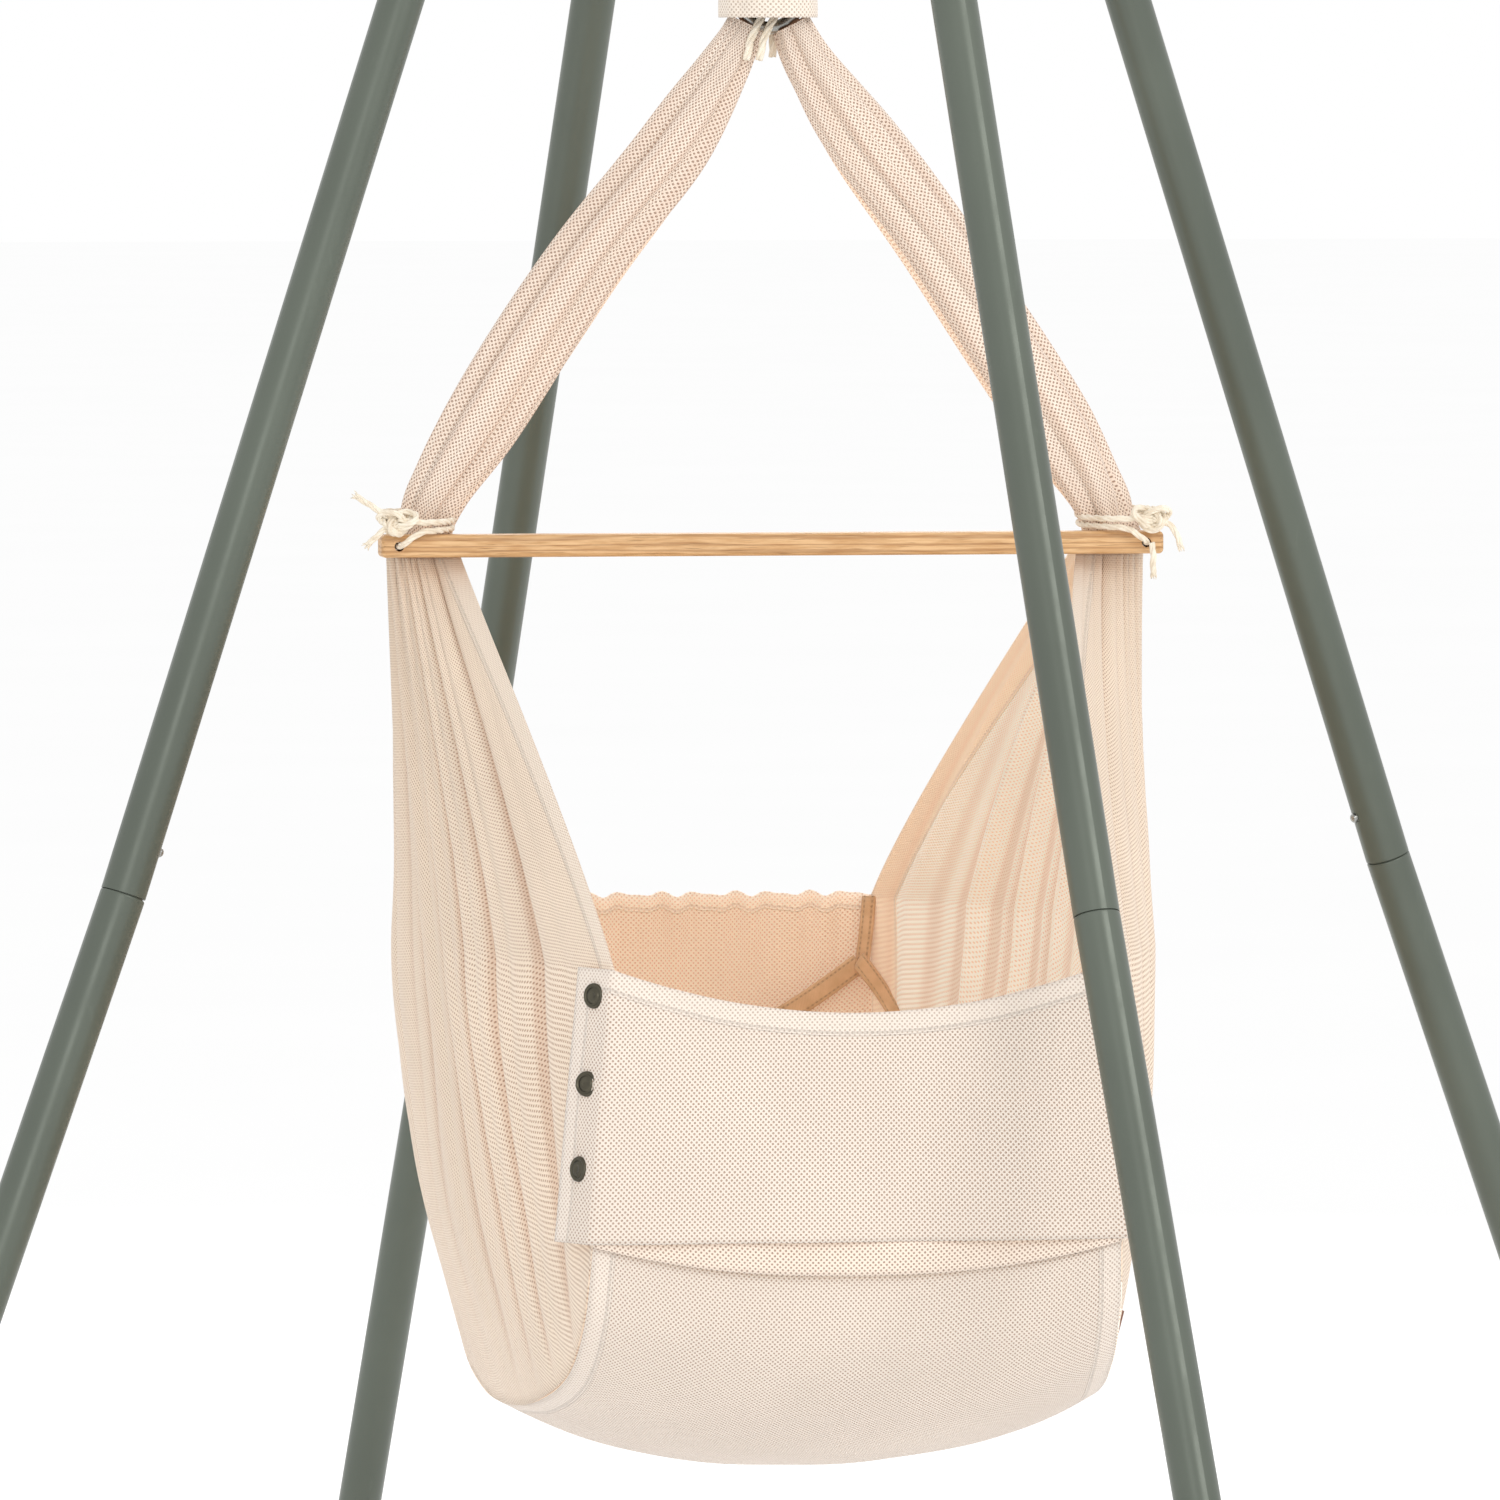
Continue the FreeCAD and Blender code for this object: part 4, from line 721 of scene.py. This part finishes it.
def side_point(side, share, drop):
    """A side panel; drop is 0 under the bar, 1 at the rim and 2 at the floor's seam."""
    rim = Vector((rim_width(share), RIM_LONG * (share - 0.5), RIM_Z))
    drift = 0.8 if side > 0 else 2.1
    if drop <= 1:
        round_end = math.pi * share
        top = Vector((GATHER_X - 7 * MM + 22 * MM * (2 * math.sin(round_end) - 1),
                      GATHER_Y - 12.5 * MM * math.cos(round_end), GATHER_TOP))
        fan = drop ** 1.15
        bow = 1 - (1 - drop) ** 1.35
        point = Vector((top.x + (rim.x - top.x) * bow, top.y + (rim.y - top.y) * fan,
                        top.z + (rim.z - top.z) * drop))
        outward = Vector((math.sin(round_end) * 0.9 + 0.25, -math.cos(round_end), 0))
        direction = outward.normalized().lerp(Vector((1, 0, 0)), smooth(0.0, 0.45, drop))
    else:
        seam = belly_point(share, 1)
        fall = drop - 1
        point = Vector((rim.x + (seam.x - rim.x) * fall ** 1.8,
                        rim.y + (seam.y - rim.y) * fall,
                        rim.z + (seam.z - rim.z) * fall))
        direction = Vector((1, 0, 0))
    fullness = (along(FULLNESS, drop) * MM
                * smooth(0.0, 0.16, share) * (1 - smooth(0.84, 1.0, share) * 0.8))
    lean = share + 0.035 * math.sin(1.6 * drop) * math.sin(math.pi * share)
    point += direction * fullness * pleat(lean, 11, drift)
    tension = 1.5 * MM * math.sin(2 * math.pi * (3.5 * share + 0.12 * drop) + drift)
    fade = smooth(0.5, 1.2, drop) * (1 - smooth(1.7, 2.0, drop)) * math.sin(math.pi * share)
    drape = 5 * MM * noise.noise(Vector((share * 5, drop * 2.2, drift)))
    point.x += (tension + drape) * fade
    return Vector((point.x * side, point.y, point.z))


def build_side_panels():
    """Gathered, fanned side panels, warm cream outside and lined with light peach."""
    shares = spread(261, 0.0, 1.0)
    drops = [d ** 1.25 for d in spread(54, 0.0, 1.0)] + spread(34, 1.0, 2.0)[1:]
    for name, side in SIDES:
        materials = [SIDE_KNIT, LINING] if side < 0 else [LINING, SIDE_KNIT]
        panel = cloth_grid(f"side_cloth_{name}", lambda u, v: side_point(side, u, v),
                           shares, drops, materials, hems=("u0", "u1"), outside=-side,
                           reach=6)
        stand_in(panel, f"side_panel_{name}")


def build_floor_cloth():
    """The cradle's floor, taut between its seams, sagging a little under the mattress."""
    def point(across, share):
        p = belly_point(share, across)
        p.z += 2.5 * MM * noise.noise(Vector((across * 3, share * 6, 4.2)))
        return p
    sheet = cloth_grid("floor_cloth", point, spread(61, -1, 1), spread(97, 0, 1),
                       [LINING, OUTER], hems=("u0", "u1"))
    stand_in(sheet, "basket_bottom")


def build_back():
    """The head end's wall with its ruffled top hem."""
    def point(across, rise):
        seam = belly_point(1.0, across)
        half = seam.x + (RIM_REAR * across - seam.x) * rise
        bow = 9 * MM * (1 - across ** 2) * (1 - (2 * rise - 1) ** 2)
        ruffle = math.sin(across * 31) * 0.6 + math.sin(across * 47 + 1.3) * 0.4
        gather = smooth(0.62, 1.0, rise)
        y = RIM_LONG / 2 + 3 * MM + bow + ruffle * 2.6 * MM * gather
        top = RIM_Z + 2 * MM + 2.0 * MM * ruffle * gather
        return Vector((half, y, seam.z - 1 * MM + (top - seam.z + 1 * MM) * rise))
    sheet = cloth_grid("back_cloth", point, spread(121, -1, 1), spread(31, 0, 1),
                       [BACK_LINING, OUTER], hems=("v1",))
    stand_in(sheet, "back_panel")


def tape(name, line, width, across, lift, outward=Vector((0, -1, 0))):
    """A tape sewn along a line, its width in the direction across, crowned outward."""
    points = route_points(line, 4 * MM)

    def point(wide, step):
        crown = lift * (1 - wide ** 2)
        return points[step] + across * (wide * width / 2) + outward * crown
    piece = cloth_grid(name, point, spread(7, -1, 1), range(len(points)), [BINDING],
                       thickness=1.4 * MM, hems=("u0", "u1"))
    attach(piece, "cradle")


def build_bindings():
    """The bound seam up each rear corner, and the insert's bound corner beside it."""
    for name, side in SIDES:
        rim = Vector((side * RIM_REAR, RIM_LONG / 2 - 2 * MM, RIM_Z))
        peak = mm(side * 110, 340, 569)
        tape(f"corner_tape_{name}",
             [peak + mm(side * 3, 5, 0), peak.lerp(rim, 0.5) + mm(side, 1, 0),
              rim - mm(side * 2, 0, 0)],
             9 * MM, Vector((1, -side * 0.4, 0)).normalized(), 1.2 * MM)
        tape(f"insert_tape_inner_{name}",
             [peak, mm(side * 80, 345, 546), mm(side * 42, 346, 524), mm(0, 345, 512)],
             13 * MM, Vector((-side * 0.52, 0, 0.85)), 1.0 * MM)
        along_side = [side_point(side, share, drop) - mm(side * 5, 0, 0)
                      for share, drop in ((0.975, 1.38), (0.95, 1.43), (0.92, 1.47),
                                          (0.89, 1.51))]
        tape(f"insert_tape_outer_{name}", [peak + mm(0, -2, 2)] + along_side,
             13 * MM, Vector((side * 0.5, 0.5, 0.7)).normalized(), 1.0 * MM,
             Vector((-side, 0, 0)))


FLAP_FOOT_HALF = 163 * MM
FLAP_TOP_HALF = 148.5 * MM
FLAP_STRIP = 31 * MM
FLAP_SAG = 27 * MM
STRIP_TURN = math.radians(31)


def flap_point(across, rise):
    """The front flap: across 1 is its corner, beyond 1 the strip turned round it."""
    corner = FLAP_FOOT_HALF + (FLAP_TOP_HALF - FLAP_FOOT_HALF) * rise
    side = 1 if across > 0 else -1
    share = min(abs(across), 1.0)
    beyond = max(abs(across) - 1.0, 0.0) * FLAP_STRIP
    sag = FLAP_SAG * (1 - share ** 2) * max(0.0, rise - 0.35) / 0.65
    top = RIM_Z + 2 * MM
    foot = CREASE_Z + 0.8 * MM
    y = -RIM_LONG / 2 - 7 * MM - 4 * MM * (1 - share ** 2) - 3 * MM * (1 - rise)
    point = Vector((side * (corner * share + beyond * math.sin(STRIP_TURN)),
                    y + beyond * math.cos(STRIP_TURN), foot + (top - foot) * rise - sag))
    pull = math.sin(rise * 9.5 + 1.0) * smooth(0.55, 1.0, share)
    pull *= 1 - smooth(1.0, 1.3, abs(across))
    strain = abs(math.sin(8 * (rise - 0.9) + 3.4 * share * (1 - share) * 4)) ** 0.7
    strain *= smooth(0.15, 0.8, share) * (1 - smooth(0.85, 1.1, abs(across)))
    broad = noise.noise(Vector((across * 2.6, rise * 2.2, 9)))
    point.y -= (1.6 * pull + 2.2 * strain + 3.0 * broad) * MM
    return point


def build_flap():
    """The front flap with its hems, and the band of cloth under its crease."""
    steps = [-2 + 0.1 * n for n in range(8)] + spread(73, -1.2, 1.2) + [
        1.3 + 0.1 * n for n in range(8)]
    flap = cloth_grid("flap_cloth", flap_point, steps, spread(41, 0, 1), [OUTER, LINING],
                      thickness=2.2 * MM, hems=("u0", "u1", "v1"))
    stand_in(flap, "front_flap", "flap")

    def band_point(across, rise):
        edge = belly_point(0.0, across)
        top = CREASE_Z + 5 * MM
        z = edge.z + 1.0 * MM + (top - edge.z - 1.0 * MM) * rise
        bulge = 1.5 * MM * math.sin(math.pi * rise)
        return Vector((edge.x, edge.y - 1.8 * MM - 3 * MM * (1 - across ** 2) - bulge, z))
    band = cloth_grid("seam_band_cloth", band_point, spread(61, -1, 1),
                      spread(7, -0.12, 1), [BUNDLE_KNIT, LINING], thickness=1.8 * MM)
    stand_in(band, "front_seam_band")


# ---------------- bundles above the bar

# (X, Z, half width, half depth) in mm from the top loops down to the bar
BUNDLE = [(14, 1176, 11, 10), (28, 1148, 15, 13), (60, 1099, 21, 16), (111, 1032, 22, 17),
          (178, 931, 22, 16), (206, 886, 17, 13), (214, 866, 15, 12), (218, 848, 19, 12.5)]


def bundle_value(column, position):
    """One column of BUNDLE in metres, at 0..1 along the bundle."""
    last = len(BUNDLE) - 1
    return along([(i / last, row[column]) for i, row in enumerate(BUNDLE)], position) * MM


def bundle_frame(side, position):
    """Centre, width direction, half width and half depth of a bundle at 0..1 along it."""
    x, z, wide, deep = [bundle_value(column, position) for column in range(4)]
    ahead = min(1.0, position + 0.01)
    dx, dz = [bundle_value(column, ahead) - bundle_value(column, ahead - 0.02)
              for column in (0, 1)]
    run = Vector((side * dx, 0, dz)).normalized()
    y = GATHER_Y + (2 * MM - GATHER_Y) * min(1.0, (1 - position) * 1.6)
    across = run.cross(Vector((0, 1, 0))).normalized()
    return Vector((side * x, y, z)), across, wide, deep


def bundle_point(side, angle, position, shrink=1.0, shift=0.0):
    """Point on a bundle's skin, with long uneven folds that twist a little.

    shrink and shift make the smaller copy that lies beside the middle."""
    centre, across, wide, deep = bundle_frame(side, position)
    twist = angle + 0.5 * position + shift / MM * 0.06
    sway = 0.35 * math.sin(2.2 * position * math.pi + side)
    folds = (0.9 * abs(math.sin(2.5 * twist + sway + side)) ** 0.6
             + 0.4 * abs(math.sin(4.5 * twist - 0.9 * position + 2 * side)) ** 0.7
             + 0.07 * abs(math.sin(12 * twist + 1.7 * position)) - 0.9)
    wander = noise.noise(Vector((math.cos(angle) * 1.3, math.sin(angle) * 1.3, position * 5)))
    depth = 1 + 0.40 * folds + 0.14 * wander
    offset = across * math.cos(angle) * wide * depth * shrink
    offset += Vector((0, math.sin(angle) * deep * depth * shrink, 0))
    return centre + offset + across * shift


def build_bundles():
    """Each gathered bundle: cream cloth outside with the peach layer along its inner side."""
    turns = circle(144)
    for name, side in SIDES:
        outer = cloth_grid(f"bundle_cloth_{name}", lambda u, v: bundle_point(side, u, v),
                           turns, spread(90, 0, 1), [BUNDLE_KNIT], thickness=0, closed=True,
                           reach=3)
        stand_in(outer, f"bundle_{name}")
        inner = cloth_grid(
            f"bundle_lining_{name}",
            lambda u, v: bundle_point(side, u, v, 0.78, -side * 4.5 * MM * math.sin(math.pi * v)),
            turns, spread(70, 0.03, 0.93), [BACK_LINING], thickness=0, closed=True)
        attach(inner, "cradle")


# ---------------- cords

ROPE_STEP = 1.2 * MM


def lashing_routes(side):
    """The routes of one lashing: three turns, its knot with a collar, and two tails."""
    hole = side * (BAR_END - HOLE_INSET)
    inner = side * (GATHER_X - 25 * MM)
    top = BAR_HIGH.z
    mid = (BAR_LOW.z + BAR_HIGH.z) / 2
    back = GATHER_Y + 12 * MM

    def at(x_out, y, z):
        """A point x_out mm outwards of the hole, in mm from the bar's front top edge."""
        return Vector((hole, BAR_LOW.y, top)) + mm(side * x_out, y, z)

    def behind(x_out, y, z):
        """The same, but y is from the back of the gathered cloth."""
        return Vector((hole, back, top)) + mm(side * x_out, y, z)

    def beside(x_out, y, z):
        """The same, but from the gathered cloth's inner edge."""
        return Vector((inner, y * MM, top)) + mm(side * x_out, 0, z)

    def through(y):
        """A point in the bar's hole."""
        return Vector((hole, BAR_LOW.y + y * MM, mid))
    knot = at(2, -5, 9)
    cloth_back = back / MM
    routes = {
        "wrap": [Vector((hole, back - 2 * MM, mid)), through(8), through(-4), at(-5, -6.5, -3),
                 at(-13, -6, 2.5), at(-24, -3, 3), beside(0, 0, 3), beside(1, cloth_back + 2, 5),
                 behind(-16, 8, 6), behind(-1, 4, 7), at(9, 14, 9), at(9, -1, 8), knot],
        "second": [knot + mm(0, -2, 1), at(-9, -7, 8), at(-24, -5, 8), beside(-1, 1, 8),
                   beside(0, cloth_back, 11), behind(-14, 7, 13), behind(4, 2, 13),
                   at(11, 14, 13), at(10, -2, 12), knot],
        "hidden": [Vector((hole, back - 2 * MM, mid)), Vector((hole, back + 2 * MM, mid + 3 * MM)),
                   behind(1, 1, 2), behind(3, -6, 5), at(6, 12, 6)]}
    if side < 0:
        routes["tail_0"] = [knot, at(10, -7, 13), at(19, -7, 19), at(27, -6, 24)]
        routes["tail_1"] = [knot, at(9, -8, 5), at(15, -8, 0), at(20, -7, -5)]
    else:
        routes["tail_0"] = [knot, at(8, -8, 7), at(17, -8, 2), at(20, -7, -9)]
        routes["tail_1"] = [at(2, -6.5, -7), at(3, -8, -13), at(2.5, -8, -20), at(3, -7, -26)]
    lines = {label: route_points(route, ROPE_STEP) for label, route in routes.items()}
    turns = circle(160) + [2 * math.pi]
    lines["knot"] = [knot + mm(side * 4.2 * (math.sin(t) + 2 * math.sin(2 * t)),
                               3.4 * math.sin(3 * t) - 2,
                               2.7 * (math.cos(t) - 2 * math.cos(2 * t))) for t in turns]
    lines["collar"] = [knot + mm(side * (8.5 * math.cos(t) + 1.5 * math.sin(2 * t)),
                                 4.2 * math.sin(t) - 3 * math.cos(2 * t),
                                 4.6 * math.sin(t) - 1.2) for t in turns]
    return lines


def build_lashings():
    """Twisted cord round each bundle and through the bar, with its knot and frayed tails."""
    cord = 4 * MM
    for name, side in SIDES:
        pieces = []
        for label, line in lashing_routes(side).items():
            pieces.append(rope(f"{label}_{name}", line, cord))
            if label.startswith("tail"):
                pieces.append(fray(f"fray_{label}", line[-1], line[-1] - line[-3], cord))
        stand_in(join(f"lashing_cord_{name}", pieces), f"bar_lashing_{name}")


def build_top_loops():
    """Two cord loops that carry the bundles on the lower carabiner."""
    cord = 5 * MM
    wire = low("lower_carabiner").z + 4 * MM
    pieces = []
    # (X from the loop's middle, Y, Z from the wire) of one loop, in mm, from front to back
    bend = [(-12, -13, -20), (-9.6, -12, -6), (-2.4, -8.5, 5), (0, -1, 10), (0, 7.5, 5),
            (0, 11, -6), (0, 12, -18)]
    for side in (-1, 1):
        line = [Vector((0, 0, wire)) + mm(4 * side + x, y, z) for x, y, z in bend]
        pieces.append(rope(f"loop_{side + 2}", route_points(line, ROPE_STEP), cord))
    stand_in(join("hanging_loops", pieces), "top_cord_loops")


# ---------------- spring and its cover

def build_spring():
    """The helical spring with its end loops, its cover and the safety cord."""
    floor_z, roof_z = low("spring").z, high("spring").z
    wire = 2.25 * MM
    radius, turns, steps = 18.7 * MM, 88, 20
    eye_radius, eye_inset = 14 * MM, 16.2 * MM
    base, top = floor_z + 30 * MM, roof_z - 30 * MM
    line = []
    for n in range(turns * steps + 1):
        angle = 2 * math.pi * n / steps
        line.append(Vector((radius * math.cos(angle), radius * math.sin(angle),
                            base + (top - base) * n / (turns * steps))))
    coils = [tube("spring_coil", line, [wire * 0.98] * len(line), WIRE, 6)]
    for height, flat in ((floor_z + eye_inset, Vector((0, 1, 0))),
                         (roof_z - eye_inset, Vector((1, 0, 0)))):
        ring = [flat * eye_radius * math.cos(angle)
                + Vector((0, 0, height + eye_radius * math.sin(angle)))
                for angle in circle(48) + [2 * math.pi]]
        coils.append(tube("spring_eye", ring, [wire] * len(ring), WIRE, 10))
    spring = join("spring_coil", coils)
    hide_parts("spring")

    cover_low, cover_high = low("spring_cover").z, high("spring_cover").z

    def cover_point(angle, rise):
        z = cover_low + (cover_high - cover_low) * rise
        radius = 30.0 * MM - 2.2 * MM * smooth(0.0, 0.35, rise)
        radius -= 11 * MM * smooth(0.91, 1.0, rise)
        ridge = math.sin(9 * angle + 2.0 * math.sin(rise * 7)) * 0.6
        ridge += math.sin(14 * angle - rise * 11) * 0.4
        slack = noise.noise(Vector((math.cos(angle) * 1.6, math.sin(angle) * 1.6, rise * 16)))
        ring = math.sin(rise * 150 + 2.5 * math.sin(angle + rise * 9)) * 0.35
        radius += (1.1 * ridge + 1.6 * slack + ring) * MM * (0.5 + 0.5 * smooth(0.0, 0.1, rise))
        return Vector((radius * math.cos(angle), radius * math.sin(angle), z))
    cover = cloth_grid("cover_cloth", cover_point, circle(120), spread(220, 0, 1),
                       [COVER_KNIT, COVER_KNIT], hems=("v0", "v1"), closed=True, reach=3)
    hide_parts("spring_cover")

    cord_low, cord_high = low("safety_cord").z + 4 * MM, high("safety_cord").z - 4 * MM
    sway = [0, 5, -4, 5, -5, 4, -5, 5, -4, 0]
    points = [Vector((x * MM, -0.6 * x * MM, cord_low + (cord_high - cord_low) * n / 9))
              for n, x in enumerate(sway)]
    safety = rope("safety_rope", route_points(points, 3 * MM), 6 * MM)
    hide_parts("safety_cord")
    for piece, first, last in ((apply_modifiers(cover), cover_high - 40 * MM, cover_low + 60 * MM),
                               (spring, top, base), (safety, cord_high, cord_low)):
        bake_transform(piece)


# ---------------- snaps, tag and mattress

SNAP_RISES = (0.90, 0.58, 0.27)


def lathe(name, profile, material, centre, outward):
    """A turned piece: profile is (radius, height) pairs in mm from the rim to the middle."""
    up = outward.normalized()
    side = up.orthogonal().normalized()
    other = up.cross(side)
    angles = circle(36)
    vertices = [centre + (up * height + (side * math.cos(angle)
                                         + other * math.sin(angle)) * radius) * MM
                for radius, height in profile for angle in angles]
    faces = (grid_faces(len(profile), len(angles)) + end_faces(len(profile), len(angles)))
    return new_object(name, vertices, faces, [material])


def build_snaps():
    """Six burnished snap caps with a ring rolled into each."""
    profile = [(7.5, 0.0), (7.7, 0.8), (7.4, 1.7), (6.8, 2.3), (6.2, 2.3), (5.8, 1.5),
               (5.0, 1.4), (4.6, 2.0), (3.4, 2.5), (2.4, 2.55), (2.0, 2.1), (0.4, 2.2)]
    column = 1.42
    caps = []
    for side in (-1, 1):
        for number, rise in enumerate(SNAP_RISES):
            middle = flap_point(side * column, rise)
            ahead = flap_point(side * (column + 0.08), rise) - middle
            above = flap_point(side * column, rise + 0.02) - middle
            outward = ahead.cross(above).normalized()
            if outward.x * side < 0:
                outward = -outward
            caps.append(lathe(f"snap_{number}", profile, SNAP, middle + outward * 0.9 * MM,
                              outward))
    stand_in(join("snap_cap_set", caps), "snap_caps", "flap")


def build_tag():
    """The blank leather tag on the right panel, bent to the cloth."""
    def point(along_it, down_it):
        share = 0.30 + 0.030 * along_it
        p = side_point(1, share, 1.86 + 0.035 * down_it)
        return p + Vector((3.0 * MM, -0.6 * MM, -0.8 * MM))
    tag = cloth_grid("tag_leather", point, spread(13, -1, 1), spread(9, -1, 1), [TAG],
                     thickness=1.2 * MM)
    stand_in(tag, "blank_label")


PAD_ENDS = (0.118, 0.882)
PAD_HALF_WIDTH = 145 * MM
PAD_CLEARANCE = 26 * MM
PAD_MIDDLE = 22.5 * MM


def mattress_point(across, share, level):
    """A point of the mattress, level above its middle surface."""
    floor_width = along(FLOOR_WIDTH, share) * MM
    width = min(PAD_HALF_WIDTH, floor_width - PAD_CLEARANCE)
    base = belly_point(share, across * width / floor_width)
    return Vector((across * width, base.y * 0.965, base.z + PAD_MIDDLE + level))


def build_mattress():
    """A soft pad pressed into the floor, raised at the head end, bound with brown tape."""
    columns, rows = 25, 49
    half = 10.5 * MM
    long = PAD_ENDS[1] - PAD_ENDS[0]
    vertices = []
    for level_sign in (1, -1):
        for share in spread(rows, *PAD_ENDS):
            for across in spread(columns, -1, 1):
                edge = (1 - abs(across) ** 6) * (1 - abs(2 * (share - 0.5) / long) ** 10)
                vertices.append(mattress_point(across, share,
                                               level_sign * half * (0.45 + 0.55 * edge)))
    faces = []
    layer = columns * rows
    for quad in grid_faces(rows, columns, closed=False):
        faces.append(quad)
        faces.append(tuple(layer + i for i in reversed(quad)))
    border = ([(0, c) for c in range(columns)] + [(r, columns - 1) for r in range(1, rows)]
              + [(rows - 1, c) for c in range(columns - 2, -1, -1)]
              + [(r, 0) for r in range(rows - 2, 0, -1)])
    ring = [r * columns + c for r, c in border]
    for a, b in zip(ring, ring[1:] + ring[:1]):
        faces.append((b, a, layer + a, layer + b))
    pad = new_object("mattress_pad", vertices, faces, [PAD])
    puff(pad, cap=7 * MM)
    stand_in(pad, "mattress")
    edges = [(name, [mattress_point(side, share, 0) for share in spread(25, *PAD_ENDS)],
              Vector((side, 0, 0))) for name, side in SIDES]
    edges += [(name, [mattress_point(across, share, 0) for across in spread(13, -1, 1)],
               Vector((0, outward, 0)))
              for name, share, outward in zip(("foot", "head"), PAD_ENDS, (-1, 1))]
    for name, line, outward in edges:
        tape(f"pad_binding_{name}", line, 17 * MM, Vector((0, 0, 1)), 5 * MM, outward)


def puff(obj, cap):
    """Swell a closed form with a short cloth simulation, no point moving past cap."""
    remesh = obj.modifiers.new("remesh", "REMESH")
    remesh.mode = "VOXEL"
    remesh.voxel_size = 6 * MM
    apply_modifiers(obj)
    before = [v.co.copy() for v in obj.data.vertices]
    cloth = obj.modifiers.new("cloth", "CLOTH")
    cloth.settings.use_pressure = True
    cloth.settings.uniform_pressure_force = 4.0
    cloth.settings.effector_weights.gravity = 0.0
    cloth.settings.quality = 5
    for frame_number in range(1, 21):
        bpy.context.scene.frame_set(frame_number)
    apply_modifiers(obj)
    for vertex, rest in zip(obj.data.vertices, before):
        shift = vertex.co - rest
        if shift.length > cap:
            vertex.co = rest + shift * (cap / shift.length)
    smoother = obj.modifiers.new("finer", "SUBSURF")
    smoother.levels = 1
    smoother.render_levels = 1
    apply_modifiers(obj)
    for polygon in obj.data.polygons:
        polygon.use_smooth = True
    bpy.context.scene.frame_set(1)


# ---------------- the CAD's own parts

def dress_frame_parts():
    """Better materials for the CAD parts that are shown as they are."""
    wanted = {"leg_": PAINT, "hub_head": PAINT, "hub_cap": CAP_PLASTIC, "rubber_foot": RUBBER,
              "spreader_bar": OAK, "snap_sockets": SNAP, "button_springs": WIRE}
    for name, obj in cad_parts.items():
        material = next((m for start, m in wanted.items() if name.startswith(start)), ZINC)
        obj.data.materials.clear()
        obj.data.materials.append(material)


build_stage()
dress_frame_parts()
build_side_panels()
build_floor_cloth()
build_back()
build_bindings()
build_flap()
build_bundles()
build_lashings()
build_top_loops()
build_spring()
build_snaps()
build_tag()
build_mattress()
